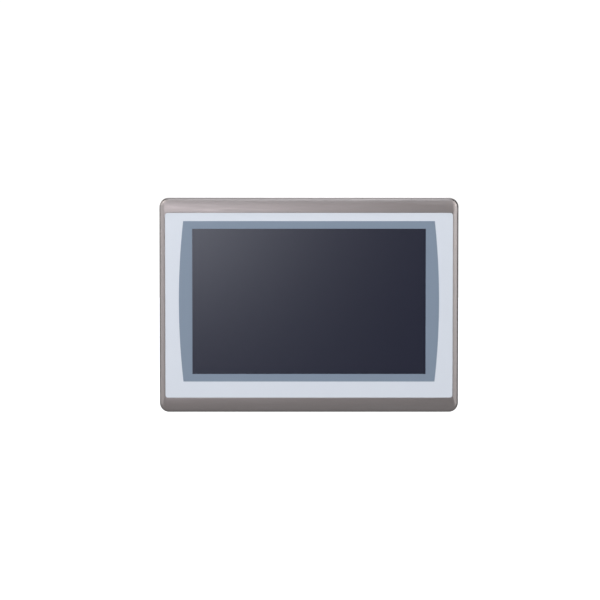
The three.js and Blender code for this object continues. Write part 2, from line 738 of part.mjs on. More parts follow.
function boardTray() {
  const { halfWidth, low, high } = TRAY;
  const plate = block(-halfWidth, halfWidth, HOUSING_BACK_Y + 0.1, HOUSING_BACK_Y + SHEET, low, high);
  const cableSlots = [
    pad(TAIL_X, -23, TAIL_WIDTH + 8, 8, HOUSING_BACK_Y - 1, HOUSING_BACK_Y + 3),
    pad(CABLE_X, 12, CABLE_WIDTH + 10, 8, HOUSING_BACK_Y - 1, HOUSING_BACK_Y + 3),
  ];
  const studs = STUDS.flatMap(([x, z]) => [
    rodY(x, z, STUD_RADIUS, HOUSING_BACK_Y + 0.5, BOARD_Y - 0.1, 12),
    rodY(x, z, STUD_THREAD_RADIUS, BOARD_Y - 0.5, BOARD_Y + BOARD_THICK + 2, 10),
  ]);
  return join(cut(plate, ...cableSlots), ...studs);
}

addPiece("board_tray", boardTray(), ZINC_SHEET);

const PROCESSOR = { x: 20, z: 30 };

// The larger parts soldered to the board: x, z, width, height and how far they stand up.
const CHIPS = [
  [PROCESSOR.x, PROCESSOR.z, 27, 27, 1.6],
  [62, 50, 14, 9, 1],
  [62, 36, 14, 9, 1],
  [62, 10, 12, 18, 1.1],
  [26, -18, 12, 12, 1.2],
  [49, -18, 12, 12, 1.2],
  [-25, -26, 7, 7, 1],
  [-30, 30, 10, 10, 1.4],
  [-42, -22, 8, 8, 1],
  [-82, 34, 12, 12, 4.5],
  [-30, 58, 26, 6, 2.4],
  [86, -10, 10, 14, 1.2],
];

function mainBoard() {
  const rear = BOARD_Y + BOARD_THICK;
  const plate = block(-BOARD_HALF_WIDTH, BOARD_HALF_WIDTH, BOARD_Y, rear, BOARD_LOW_Z, BOARD_HIGH_Z);
  const raised = CHIPS.map(([x, z, width, height, tall]) =>
    pad(x, z, width, height, rear - 0.5, rear + tall));
  const studHoles = STUDS.map(([x, z]) =>
    rodY(x, z, STUD_THREAD_RADIUS + GAP, BOARD_Y - 1, rear + 1, 10));
  return cut(join(plate, ...raised), ...studHoles);
}

addPiece("main_board", mainBoard(), BOARD_GREEN);

function heatsink() {
  const base = 3;
  const finCount = 9;
  const half = 30;
  const finThick = 1.4;
  const top = 16;
  const pitch = (2 * half - finThick) / (finCount - 1);
  const shape = new THREE.Shape();
  shape.moveTo(-half, 0);
  shape.lineTo(half, 0);
  for (let fin = finCount - 1; fin >= 0; fin--) {
    const left = -half + fin * pitch;
    shape.lineTo(left + finThick, top);
    shape.lineTo(left, top);
    if (fin > 0) {
      shape.lineTo(left, base);
      shape.lineTo(left - pitch + finThick, base);
    }
  }
  shape.closePath();
  return prism(shape, "z", -half, half);
}

addPiece("heatsink", heatsink(), ALUMINIUM).position.set(
  PROCESSOR.x,
  BOARD_Y + BOARD_THICK + 1.7,
  PROCESSOR.z,
);

const TRANSFORMER = { x: -84, z: -6, depth: 20, footWidth: 24, coilWidth: 18, foot: 4, top: 15 };

function transformer() {
  const { x, z, depth, footWidth, coilWidth, foot, top } = TRANSFORMER;
  return join(
    pad(x, z, footWidth, depth, PART_Y, PART_Y + foot),
    pad(x, z, coilWidth, depth, PART_Y + foot - 1, PART_Y + top),
  );
}

addPiece(
  "transformer",
  transformer(),
  finish(0x3a3a3c, 0.6),
);

const CAN_RADIUS = 6.2;
const CAN_NECK = 5.7; // where the can is crimped round its seal
const CAN_HEIGHT = 20;
const capacitor = turned(
  [
    [0, 0],
    [CAN_RADIUS, 0],
    [CAN_RADIUS, 1.4],
    [CAN_NECK, 2],
    [CAN_NECK, 2.6],
    [CAN_RADIUS, 3.2],
    [CAN_RADIUS, CAN_HEIGHT],
    [0, CAN_HEIGHT],
  ],
  12,
);
[[-58, 6], [-58, -9]].forEach(([x, z], i) => {
  addPiece(`capacitor_${i + 1}`, capacitor, finish(0x29303f, 0.4)).position.set(x, PART_Y, z);
});

// ---------------------------------------------------------------- sockets, each about its own mouth

// A socket stands on the board with its mouth down: local z = 0 is the mouth and local y = 0 the board.
function socketShell({ width, depth, length }) {
  return block(-width / 2, width / 2, 0, depth, 0, length);
}

function placeSockets(kind, names, geometry, material) {
  kind.xs.forEach((x, i) => {
    addPiece(names[i], geometry, material).position.set(x, PART_Y, PORT_FACE_Z);
  });
}

function ethernetSocket() {
  const middle = ETHERNET.depth / 2 + 0.6;
  const hollow = block(-5.95, 5.95, middle - 3.4, middle + 3.4, -1, 13);
  const latch = block(-3.2, 3.2, 1.9, middle, -1, 9);
  const keeper = block(-2, 2, 1, middle, -1, 6);
  return cut(socketShell(ETHERNET), hollow, latch, keeper);
}

placeSockets(ETHERNET, ["ethernet_port_1", "ethernet_port_2"], ethernetSocket(), TINNED_STEEL);

function usbHostSocket() {
  const middle = USB_HOST.depth / 2;
  const hollow = block(-6.25, 6.25, middle - 2.55, middle + 2.55, -1, 11);
  const tongue = block(-5.6, 5.6, middle - 2, middle - 0.2, 1, 11.5);
  return join(cut(socketShell(USB_HOST), hollow), tongue);
}

placeSockets(USB_HOST, ["usb_host_port_1", "usb_host_port_2"], usbHostSocket(), TINNED_STEEL);

function usbDeviceSocket() {
  const middle = USB_DEVICE.depth / 2;
  const mouth = new THREE.Shape();
  mouth.moveTo(-4.2, middle - 3.9);
  mouth.lineTo(4.2, middle - 3.9);
  mouth.lineTo(4.2, middle + 2.3);
  mouth.lineTo(2.6, middle + 3.9);
  mouth.lineTo(-2.6, middle + 3.9);
  mouth.lineTo(-4.2, middle + 2.3);
  mouth.closePath();
  const tongue = block(-2.8, 2.8, middle - 1.6, middle + 1.6, 1, 12);
  return join(cut(socketShell(USB_DEVICE), prism(mouth, "z", -1, 11.5)), tongue);
}

placeSockets(USB_DEVICE, ["usb_device_port"], usbDeviceSocket(), TINNED_STEEL);

const POLE_PITCH = 5.08;
const POLES = [-POLE_PITCH, 0, POLE_PITCH];
const POWER_MIDDLE = POWER.depth / 2;

function powerHeader() {
  const hollow = block(-8.3, 8.3, POWER_MIDDLE - 4.4, POWER_MIDDLE + 4.4, -1, 10.4);
  const pins = POLES.map((x) => block(x - 0.5, x + 0.5, POWER_MIDDLE - 0.5, POWER_MIDDLE + 0.5, 2, 11));
  return join(cut(socketShell(POWER), hollow), ...pins);
}

placeSockets(POWER, ["power_header"], powerHeader(), TERMINAL_GREEN);

// ---------------------------------------------------------------- removable power terminal block

const TERMINAL_BODY = { halfWidth: 9.2, y0: 0.4, y1: 12.6, low: -15.6, high: -0.4 };
const CLAMP_Z = -7.2;

function powerTerminal() {
  const { halfWidth, y0, y1, low, high } = TERMINAL_BODY;
  const body = block(-halfWidth, halfWidth, y0, y1, low, high);
  const nose = block(-7.9, 7.9, POWER_MIDDLE - 4, POWER_MIDDLE + 4, high - 0.5, 9.6);
  const contacts = POLES.map((x) =>
    block(x - 0.9, x + 0.9, POWER_MIDDLE - 0.9, POWER_MIDDLE + 0.9, 1.2, 10.5),
  );
  const wireWays = POLES.map((x) => block(x - 1.9, x + 1.9, 3.2, 7.4, low - 1, -5));
  const screwWays = POLES.map((x) => rodY(x, CLAMP_Z, 2.1, 6.6, y1 + 1, 14));
  const grips = [-1, 1].map((side) => {
    const x = side * halfWidth;
    return block(x - 0.5, x + 0.5, y0 - 1, y1 + 1, -11, -10);
  });
  return cut(join(body, nose), ...contacts, ...wireWays, ...screwWays, ...grips);
}

const clampScrew = cut(
  turned([[0, 0], [1.5, 0], [1.85, 0.5], [1.85, 4.6], [0, 4.6]], 14),
  block(-2.5, 2.5, 3.6, 6, -0.35, 0.35),
);

const terminal = new THREE.Group();
terminal.position.set(POWER.xs[0], PART_Y, PORT_FACE_Z);
panel.add(terminal);
addPiece("power_terminal", powerTerminal(), TERMINAL_GREEN, terminal);
POLES.forEach((x, i) => {
  addPiece(`terminal_screw_${i + 1}`, clampScrew, TINNED_STEEL, terminal).position.set(x, 7.6, CLAMP_Z);
});

// ---------------------------------------------------------------- memory card, battery, lights and reset

const CARD = { x0: 81.5, x1: 113.5, thick: 2.1, halfHeight: 12 };
const CARD_Y = PART_Y + 0.6;

function cardSocket() {
  const shell = block(78.5, 105.8, PART_Y, PART_Y + 3.2, SD_Z - 14, SD_Z + 14);
  const hollow = block(80.2, 107, CARD_Y - GAP, CARD_Y + CARD.thick + GAP, SD_Z - 12.3, SD_Z + 12.3);
  return cut(shell, hollow);
}

function memoryCard() {
  const notch = 4;
  const shape = new THREE.Shape();
  shape.moveTo(CARD.x0 + notch, SD_Z - CARD.halfHeight);
  shape.lineTo(CARD.x1, SD_Z - CARD.halfHeight);
  shape.lineTo(CARD.x1, SD_Z + CARD.halfHeight);
  shape.lineTo(CARD.x0, SD_Z + CARD.halfHeight);
  shape.lineTo(CARD.x0, SD_Z - CARD.halfHeight + notch);
  shape.closePath();
  return prism(shape, "y", CARD_Y, CARD_Y + CARD.thick);
}

addPiece("sd_socket", cardSocket(), TINNED_STEEL);
addPiece("sd_card", memoryCard(), finish(0x2c3f66, 0.5));

const CELL_RADIUS = 10;
const CELL_Y = WELL_FLOOR_Y + 1.9;
const HOLDER_WIDTH = 23.6;
const HOLDER_HEIGHT = 29;

function batteryHolder() {
  const { x, z } = BATTERY;
  const base = pad(x, z, HOLDER_WIDTH, HOLDER_HEIGHT, WELL_FLOOR_Y + 0.1, WELL_FLOOR_Y + 1.7);
  const walls = pad(x, z, HOLDER_WIDTH, HOLDER_HEIGHT, WELL_FLOOR_Y + 1.5, WELL_FLOOR_Y + 5);
  const seat = rodY(x, z, CELL_RADIUS + GAP, WELL_FLOOR_Y + 1.6, WELL_FLOOR_Y + 7, 24);
  const pick = pad(x, z - 13, 8, 8, WELL_FLOOR_Y + 1.6, WELL_FLOOR_Y + 7);
  return cut(join(base, walls), seat, pick);
}

addPiece("battery_holder", batteryHolder(), BLACK_PLASTIC);
addPiece(
  "coin_cell",
  turned([[0, 0], [8.6, 0], [8.6, 0.7], [CELL_RADIUS, 1.1], [CELL_RADIUS, 3.2], [0, 3.2]], 20),
  TINNED_STEEL,
).position.set(BATTERY.x, CELL_Y, BATTERY.z);

// The door turns on its rounded edge next to the housing's side wall.
const DOOR_PIVOT = { x: BATTERY.x - BATTERY.halfWidth + 1.6, y: HOUSING_BACK_Y - DOOR_THICK / 2 };

function batteryDoor() {
  const halfHeight = BATTERY.halfHeight - GAP;
  const free = BATTERY.x + BATTERY.halfWidth - GAP;
  const leaf = block(
    DOOR_PIVOT.x, free, HOUSING_BACK_Y - DOOR_THICK, HOUSING_BACK_Y,
    BATTERY.z - halfHeight, BATTERY.z + halfHeight,
  );
  const barrel = rodZ(
    DOOR_PIVOT.x, DOOR_PIVOT.y, DOOR_THICK / 2, BATTERY.z - halfHeight, BATTERY.z + halfHeight,
  );
  const thumbNotch = rodY(free - 0.5, BATTERY.z, 4, HOUSING_BACK_Y - 1, HOUSING_BACK_Y + 1);
  const snap = block(
    free - 2.4, free - 1.2, HOUSING_BACK_Y - 5, HOUSING_BACK_Y - 1, BATTERY.z - 4, BATTERY.z + 4,
  );
  return join(cut(join(leaf, barrel), thumbNotch), snap);
}

addPiece("battery_door", batteryDoor(), BLACK_PLASTIC);

const COVER_RISE = COVER_BACK_Y - PART_Y; // from the board's parts to the outside of the cover
const lightPipe = turned(
  [[0, 0], [1.5, 0], [1.5, COVER_RISE - 0.3], [1, COVER_RISE + 0.4], [0, COVER_RISE + 0.5]],
  12,
);
STATUS_LIGHTS.forEach(([x, z], i) => {
  addPiece(`status_light_${i + 1}`, lightPipe, LIGHT_PIPE).position.set(x, PART_Y, z);
});

const SWITCH_TOP = 3.2;
const RESET_TRAVEL = 1;
addPiece(
  "reset_switch",
  join(pad(...RESET, 6, 6, PART_Y, PART_Y + 2.6), rodY(...RESET, 1.3, PART_Y + 2, PART_Y + SWITCH_TOP, 12)),
  BLACK_PLASTIC,
);
const plungerFoot = SWITCH_TOP + RESET_TRAVEL + 0.2;
const plungerTop = COVER_RISE + 0.4;
addPiece(
  "reset_button",
  turned(
    [
      [0, plungerFoot],
      [2.7, plungerFoot],
      [2.7, plungerFoot + 1.2],
      [1.7, plungerFoot + 1.8],
      [1.7, plungerTop - 0.3],
      [1.4, plungerTop],
      [0, plungerTop],
    ],
    14,
  ),
  finish(0xd7d9da, 0.5),
).position.set(RESET[0], PART_Y, RESET[1]);

export default panel;
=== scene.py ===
import math

import bmesh
import bpy
from mathutils import Matrix, Vector


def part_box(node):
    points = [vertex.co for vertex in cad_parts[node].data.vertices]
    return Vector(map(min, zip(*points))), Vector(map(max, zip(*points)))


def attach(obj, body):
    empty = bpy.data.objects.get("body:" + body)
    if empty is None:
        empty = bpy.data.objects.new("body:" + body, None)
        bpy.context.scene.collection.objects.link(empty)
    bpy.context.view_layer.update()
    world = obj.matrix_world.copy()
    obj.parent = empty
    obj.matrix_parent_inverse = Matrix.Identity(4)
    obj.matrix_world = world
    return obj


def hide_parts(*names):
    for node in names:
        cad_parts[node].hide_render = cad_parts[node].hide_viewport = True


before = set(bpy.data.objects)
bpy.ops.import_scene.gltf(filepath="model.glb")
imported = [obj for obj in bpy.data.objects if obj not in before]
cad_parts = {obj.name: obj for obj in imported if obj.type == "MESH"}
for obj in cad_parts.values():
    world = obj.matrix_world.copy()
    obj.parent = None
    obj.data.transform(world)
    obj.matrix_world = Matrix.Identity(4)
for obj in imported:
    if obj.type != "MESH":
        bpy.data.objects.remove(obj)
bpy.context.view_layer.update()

# A wide touch panel for a cabinet door: the looks of its pieces, in metres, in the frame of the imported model.
# +X is the operator's right, +Y goes into the cabinet and +Z is up.

MM = 0.001


def place_of(node):
    """A node's lowest and highest corner in millimetres."""
    low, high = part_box(node)
    return Vector(low) / MM, Vector(high) / MM


BEZEL_LOW, BEZEL_HIGH = place_of("bezel_frame")
OVERLAY_LOW, OVERLAY_HIGH = place_of("front_overlay")
SEAL_LOW, SEAL_HIGH = place_of("panel_gasket")
HOUSING_LOW, HOUSING_HIGH = place_of("rear_housing")
COVER_LOW, COVER_HIGH = place_of("logic_cover")
GLASS_LOW, GLASS_HIGH = place_of("touch_sensor")
DISPLAY_Z = (GLASS_LOW.z + GLASS_HIGH.z) / 2

# ------------------------------------------------------------------ working at the bench


def put_down():
    """Leaves edit mode and deselects everything."""
    if bpy.context.object and bpy.context.object.mode != "OBJECT":
        bpy.ops.object.mode_set(mode="OBJECT")
    bpy.ops.object.select_all(action="DESELECT")


def pick_up(piece):
    put_down()
    piece.select_set(True)
    bpy.context.view_layer.objects.active = piece


def open_up(piece):
    """Starts editing a piece with nothing selected."""
    pick_up(piece)
    bpy.ops.object.mode_set(mode="EDIT")
    bpy.ops.mesh.select_all(action="DESELECT")


def choose(kind, wanted):
    """Selects the points, edges or faces being edited that pass the test."""
    bpy.ops.mesh.select_mode(type=kind)
    bpy.ops.mesh.select_all(action="DESELECT")
    mesh = bmesh.from_edit_mesh(bpy.context.object.data)
    parts = {"VERT": mesh.verts, "EDGE": mesh.edges, "FACE": mesh.faces}[kind]
    for part in parts:
        if wanted(part):
            part.select_set(True)
    mesh.select_flush_mode()
    bmesh.update_edit_mesh(bpy.context.object.data)


def close_up(piece, angle=32):
    """Ends editing and smooths what is meant to be round."""
    pick_up(piece)
    bpy.ops.object.shade_smooth_by_angle(angle=math.radians(angle))
    return piece


def settle(piece, name):
    """Names a new primitive and puts its place and size into its mesh."""
    bpy.ops.object.transform_apply(location=True, rotation=True, scale=True)
    piece.name = piece.data.name = name
    return piece


def block(name, low, high):
    """A box between two corners, in millimetres."""
    put_down()
    low, high = Vector(low) * MM, Vector(high) * MM
    bpy.ops.mesh.primitive_cube_add(size=1, location=(low + high) / 2, scale=high - low)
    return settle(bpy.context.object, name)


def rod(name, centre, radius, length, axis="Y", sides=32):
    """A cylinder about its middle, in millimetres."""
    put_down()
    turn = {"X": (0, math.pi / 2, 0), "Y": (math.pi / 2, 0, 0), "Z": (0, 0, 0)}[axis]
    bpy.ops.mesh.primitive_cylinder_add(
        vertices=sides, radius=radius * MM, depth=length * MM, location=Vector(centre) * MM, rotation=turn
    )
    return settle(bpy.context.object, name)


def middle_of(node):
    """The middle of a node's box in millimetres."""
    low, high = place_of(node)
    return (low + high) / 2


def middle(part):
    """The middle of an edge or a face in millimetres."""
    if isinstance(part, bmesh.types.BMFace):
        return part.calc_center_median() / MM
    return (part.verts[0].co + part.verts[1].co) / 2 / MM


def runs_along(edge, axis):
    """Says whether an edge is parallel to an axis."""
    way = edge.verts[1].co - edge.verts[0].co
    return abs(way["XYZ".index(axis)]) > 0.999 * way.length


def round_off(width, steps=3):
    """Bevels the selected edges."""
    bpy.ops.mesh.bevel(
        offset=width * MM, offset_type="OFFSET", segments=steps, affect="EDGES", clamp_overlap=True
    )


def sharp(edge, least=40):
    """Says whether the faces at an edge turn by at least so many degrees."""
    return len(edge.link_faces) == 2 and edge.calc_face_angle(0) > math.radians(least)


def lies_at(y, edge):
    """Says whether an edge lies at one depth, in millimetres."""
    return all(abs(point.co.y / MM - y) < 0.01 for point in edge.verts)


def round_rim(piece, y, width, steps, least=None):
    """Rounds a piece's edges at one depth, or only those that turn by at least so many degrees."""
    open_up(piece)
    choose("EDGE", lambda edge: lies_at(y, edge) and (least is None or sharp(edge, least)))
    round_off(width, steps)
    put_down()
    return piece


def softened(piece, width=0.35, steps=2):
    """Rounds all the sharp edges of a piece."""
    open_up(piece)
    choose("EDGE", sharp)
    round_off(width, steps)
    put_down()
    return piece


def fuse(pieces, name):
    """Joins loose shells into one piece."""
    put_down()
    for piece in pieces:
        piece.select_set(True)
    bpy.context.view_layer.objects.active = pieces[0]
    bpy.ops.object.join()
    pieces[0].name = pieces[0].data.name = name
    return pieces[0]


def carve(piece, cutters, operation="DIFFERENCE"):
    """Cuts the cutters out of a piece one by one and throws them away."""
    pick_up(piece)
    for cutter in cutters:
        change = piece.modifiers.new("carve", "BOOLEAN")
        change.operation, change.solver, change.object = operation, "EXACT", cutter
        bpy.ops.object.modifier_apply(modifier=change.name)
        bpy.data.objects.remove(cutter)
    return piece


def rounded_block(name, low, high, corner, axis="Y", steps=8):
    """A block whose four edges along one axis are rounded."""
    piece = block(name, low, high)
    open_up(piece)
    choose("EDGE", lambda edge: runs_along(edge, axis))
    round_off(corner, steps)
    put_down()
    return piece


def twin(piece, name, moved=(0, 0, 0), turned=None, about=(0, 0, 0)):
    """A copy with its own mesh, turned by a matrix about a point and then moved, in millimetres."""
    pick_up(piece)
    bpy.ops.object.duplicate()
    copy = bpy.context.object
    about = Vector(about) * MM
    turn = (turned or Matrix.Identity(3)).to_4x4()
    copy.matrix_world = (
        Matrix.Translation(Vector(moved) * MM) @ Matrix.Translation(about) @ turn @ Matrix.Translation(-about)
    )
    return settle(copy, name)


def cast_from(node, name):
    """A piece that starts as a node's own solid, its loose triangles joined into flat faces."""
    put_down()
    piece = bpy.data.objects.new(name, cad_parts[node].data.copy())
    piece.data.name = name
    bpy.context.collection.objects.link(piece)
    piece.data.materials.clear()
    open_up(piece)
    bpy.ops.mesh.select_all(action="SELECT")
    bpy.ops.mesh.remove_doubles(threshold=0.002 * MM)
    bpy.ops.mesh.dissolve_limited(angle_limit=math.radians(0.5))
    put_down()
    return piece


def place_on(piece, body, slot, *nodes):
    """The piece rides on a body and stands for these nodes; the slot is not used."""
    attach(piece, body)
    if nodes:
        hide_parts(*nodes)
    return piece


def paint(piece, *materials):
    """Gives a piece its materials, the first of which covers it until its faces are given others."""
    for material in materials:
        piece.data.materials.append(material)
    return piece


def cover_selected(piece, index):
    """Gives the selected faces the piece's material with this number."""
    piece.active_material_index = index
    bpy.ops.object.material_slot_assign()


def paint_faces(piece, index, wanted):
    """Gives the faces that pass the test the piece's material with this number."""
    open_up(piece)
    choose("FACE", wanted)
    cover_selected(piece, index)
    put_down()


# ------------------------------------------------------------------ effects that several finishes use


class Effect:
    """A shader node group while it is being built."""

    def __init__(self, name, inputs, outputs):
        self.tree = bpy.data.node_groups.new(name, "ShaderNodeTree")
        for label, value in inputs.items():
            kind = "NodeSocketVector" if value is None else "NodeSocketFloat"
            socket = self.tree.interface.new_socket(label, in_out="INPUT", socket_type=kind)
            if value is not None:
                socket.default_value = value
        for label in outputs:
            self.tree.interface.new_socket(label, in_out="OUTPUT", socket_type="NodeSocketFloat")
        self.inward = self.add("NodeGroupInput")
        self.outward = self.add("NodeGroupOutput")

    def add(self, kind, **settings):
        node = self.tree.nodes.new(kind)
        for label, value in settings.items():
            setattr(node, label, value)
        return node

    def wire(self, source, target):
        self.tree.links.new(source, target)

    def maths(self, operation, first, second=None, clamp=False):
        node = self.add("ShaderNodeMath", operation=operation, use_clamp=clamp)
        for socket, value in zip(node.inputs, (first, second)):
            if isinstance(value, (int, float)):
                socket.default_value = value
            elif value is not None:
                self.wire(value, socket)
        return node.outputs[0]


def brushing_effect():
    """Fine parallel scratches: Stretch squeezes the pattern along each axis."""
    fx = Effect("brushing", {"Place": None, "Stretch": None, "Scale": 900.0}, ["Streak", "Broad"])
    squeeze = fx.add("ShaderNodeVectorMath", operation="MULTIPLY")
    fx.wire(fx.inward.outputs["Place"], squeeze.inputs[0])
    fx.wire(fx.inward.outputs["Stretch"], squeeze.inputs[1])
    for label, share, detail in (("Streak", 1.0, 4.0), ("Broad", 0.16, 2.0)):
        noise = fx.add("ShaderNodeTexNoise")
        noise.inputs["Detail"].default_value = detail
        fx.wire(squeeze.outputs[0], noise.inputs["Vector"])
        fx.wire(fx.maths("MULTIPLY", fx.inward.outputs["Scale"], share), noise.inputs["Scale"])
        fx.wire(noise.outputs["Fac"], fx.outward.inputs[label])
    return fx.tree


def grain_effect():
    """The fine spark-eroded texture of a mould, with a softer unevenness under it."""
    fx = Effect("moulded_grain", {"Place": None, "Scale": 1400.0}, ["Height", "Shade"])
    fine = fx.add("ShaderNodeTexVoronoi", feature="SMOOTH_F1")
    soft = fx.add("ShaderNodeTexNoise")
    soft.inputs["Detail"].default_value = 3.0
    for node, share in ((fine, 1.0), (soft, 0.05)):
        fx.wire(fx.inward.outputs["Place"], node.inputs["Vector"])
        fx.wire(fx.maths("MULTIPLY", fx.inward.outputs["Scale"], share), node.inputs["Scale"])
    fx.wire(fine.outputs["Distance"], fx.outward.inputs["Height"])
    fx.wire(soft.outputs["Fac"], fx.outward.inputs["Shade"])
    return fx.tree


def patch_effect():
    """Large cloudy patches, as handling and plating leave them."""
    fx = Effect("cloudy_patches", {"Place": None, "Scale": 22.0, "Contrast": 1.0}, ["Patch"])
    noise = fx.add("ShaderNodeTexNoise")
    noise.inputs["Detail"].default_value = 3.0
    noise.inputs["Roughness"].default_value = 0.5
    fx.wire(fx.inward.outputs["Place"], noise.inputs["Vector"])
    fx.wire(fx.inward.outputs["Scale"], noise.inputs["Scale"])
    centred = fx.maths("SUBTRACT", noise.outputs["Fac"], 0.5)
    spread = fx.maths("MULTIPLY", centred, fx.inward.outputs["Contrast"])
    fx.wire(fx.maths("ADD", spread, 0.5, clamp=True), fx.outward.inputs["Patch"])
    return fx.tree


def edge_wear_and_highlight_effect():
    """Marks edges, where handling polishes a surface, broken up by noise; on the bezel the same mask also places
    a painted highlight.
    """
    fx = Effect("edge_wear_and_highlight", {"Place": None, "Reach": 0.0006, "Amount": 1.0}, ["Edge"])
    bevel = fx.add("ShaderNodeBevel", samples=4)
    fx.wire(fx.inward.outputs["Reach"], bevel.inputs["Radius"])
    geometry = fx.add("ShaderNodeNewGeometry")
    dot = fx.add("ShaderNodeVectorMath", operation="DOT_PRODUCT")
    fx.wire(bevel.outputs["Normal"], dot.inputs[0])
    fx.wire(geometry.outputs["Normal"], dot.inputs[1])
    turn = fx.maths("MULTIPLY", fx.maths("SUBTRACT", 1.0, dot.outputs["Value"]), 9.0, clamp=True)
    noise = fx.add("ShaderNodeTexNoise")
    noise.inputs["Scale"].default_value = 320.0
    fx.wire(fx.inward.outputs["Place"], noise.inputs["Vector"])
    broken = fx.maths("MULTIPLY", turn, fx.maths("ADD", noise.outputs["Fac"], 0.25))
    fx.wire(fx.maths("MULTIPLY", broken, fx.inward.outputs["Amount"], clamp=True), fx.outward.inputs["Edge"])
    return fx.tree


def dust_effect():
    """Dust that settles on what faces up."""
    fx = Effect("settled_dust", {"Place": None, "Amount": 0.5}, ["Dust"])
    geometry = fx.add("ShaderNodeNewGeometry")
    split = fx.add("ShaderNodeSeparateXYZ")
    fx.wire(geometry.outputs["Normal"], split.inputs[0])
    noise = fx.add("ShaderNodeTexNoise")
    noise.inputs["Scale"].default_value = 70.0
    noise.inputs["Detail"].default_value = 6.0
    fx.wire(fx.inward.outputs["Place"], noise.inputs["Vector"])
    up = fx.maths("MAXIMUM", split.outputs["Z"], 0.0)
    speckled = fx.maths("MULTIPLY", up, noise.outputs["Fac"])
    fx.wire(fx.maths("MULTIPLY", speckled, fx.inward.outputs["Amount"], clamp=True), fx.outward.inputs["Dust"])
    return fx.tree


BRUSHING = brushing_effect()
GRAIN = grain_effect()
PATCHES = patch_effect()
EDGE_WEAR_AND_HIGHLIGHT = edge_wear_and_highlight_effect()
DUST = dust_effect()

# ------------------------------------------------------------------ finishes


class Finish:
    """A material while it is being built."""

    def __init__(self, name, colour, roughness, metallic=0.0):
        self.material = bpy.data.materials.new(name)
        self.material.use_nodes = True
        self.nodes = self.material.node_tree.nodes
        self.shader = self.nodes["Principled BSDF"]
        self.shader.inputs["Metallic"].default_value = metallic
        self.place = self.add("ShaderNodeTexCoord").outputs["Object"]
        self.colour = self.tint(colour)
        self.roughness = roughness
        self.height = None

    def tint(self, colour):
        return (*colour, 1.0)

    def add(self, kind, **settings):
        node = self.nodes.new(kind)
        for label, value in settings.items():
            setattr(node, label, value)
        return node

    def wire(self, source, target):
        self.material.node_tree.links.new(source, target)

    def effect(self, tree, output, **values):
        node = self.add("ShaderNodeGroup", node_tree=tree)
        self.wire(self.place, node.inputs["Place"])
        for label, value in values.items():
            node.inputs[label].default_value = value
        return node.outputs[output]

    def feed(self, value, socket):
        if isinstance(value, bpy.types.NodeSocket):
            self.wire(value, socket)
        else:
            socket.default_value = value

    def remap(self, value, low, high, start=0.0, end=1.0):
        node = self.add("ShaderNodeMapRange")
        self.feed(value, node.inputs["Value"])
        for label, number in (("From Min", start), ("From Max", end), ("To Min", low), ("To Max", high)):
            node.inputs[label].default_value = number
        return node.outputs["Result"]

    def blend_to(self, other, mask, strength=1.0):
        """Mixes another colour in where the mask is bright."""
        node = self.add("ShaderNodeMix", data_type="RGBA")
        self.feed(self.remap(mask, 0.0, strength), node.inputs["Factor"])
        self.feed(self.colour, node.inputs["A"])
        self.feed(self.tint(other), node.inputs["B"])
        self.colour = node.outputs["Result"]
        return self

    def vary_roughness(self, mask, low, high, start=0.0, end=1.0):
        self.roughness = self.remap(mask, low, high, start, end)
        return self

    def raise_by(self, height, depth):
        """Adds relief, in metres, from a height between 0 and 1."""
        bump = self.add("ShaderNodeBump")
        bump.inputs["Distance"].default_value = depth
        self.wire(height, bump.inputs["Height"])
        if self.height is not None:
            self.wire(self.height, bump.inputs["Normal"])
        self.height = bump.outputs["Normal"]
        return self

    def coat(self, weight, roughness):
        self.shader.inputs["Coat Weight"].default_value = weight
        self.shader.inputs["Coat Roughness"].default_value = roughness
        return self

    def set(self, **values):
        for label, value in values.items():
            self.shader.inputs[label.replace("_", " ")].default_value = value
        return self

    def done(self):
        self.feed(self.colour, self.shader.inputs["Base Color"])
        self.feed(self.roughness, self.shader.inputs["Roughness"])
        if self.height is not None:
            self.wire(self.height, self.shader.inputs["Normal"])
        return self.material


def moulded(name, colour, roughness=0.5, grain=1500.0, relief=0.00005, wear=0.35):
    """Moulded plastic: fine grain, slightly uneven colour, polished edges."""
    look = Finish(name, colour, roughness)
    patch = look.effect(PATCHES, "Patch", Scale=35.0, Contrast=1.6)
    look.blend_to([min(1, c * 1.25 + 0.01) for c in colour], patch, 0.5)
    look.blend_to([min(1, c * 1.6 + 0.03) for c in colour], look.effect(EDGE_WEAR_AND_HIGHLIGHT, "Edge", Reach=0.0005), wear)
    look.vary_roughness(patch, roughness - 0.07, roughness + 0.08)
    look.raise_by(look.effect(GRAIN, "Height", Scale=grain), relief)
    return look.done()


def plated(name, colour, roughness=0.3, stretch=(1, 1, 8), relief=0.00002):
    """Plated or drawn metal with fine lines and cloudy plating."""
    look = Finish(name, colour, roughness, 1.0)
    streak = look.effect(BRUSHING, "Streak", Stretch=stretch, Scale=500.0)
    patch = look.effect(PATCHES, "Patch", Scale=45.0, Contrast=2.0)
    look.blend_to([c * 0.72 for c in colour], patch, 0.5)
    look.blend_to([min(1, c * 1.3) for c in colour], look.effect(EDGE_WEAR_AND_HIGHLIGHT, "Edge", Reach=0.0004), 0.6)
    look.vary_roughness(streak, roughness - 0.08, roughness + 0.14)
    look.raise_by(streak, relief)
    return look.done()


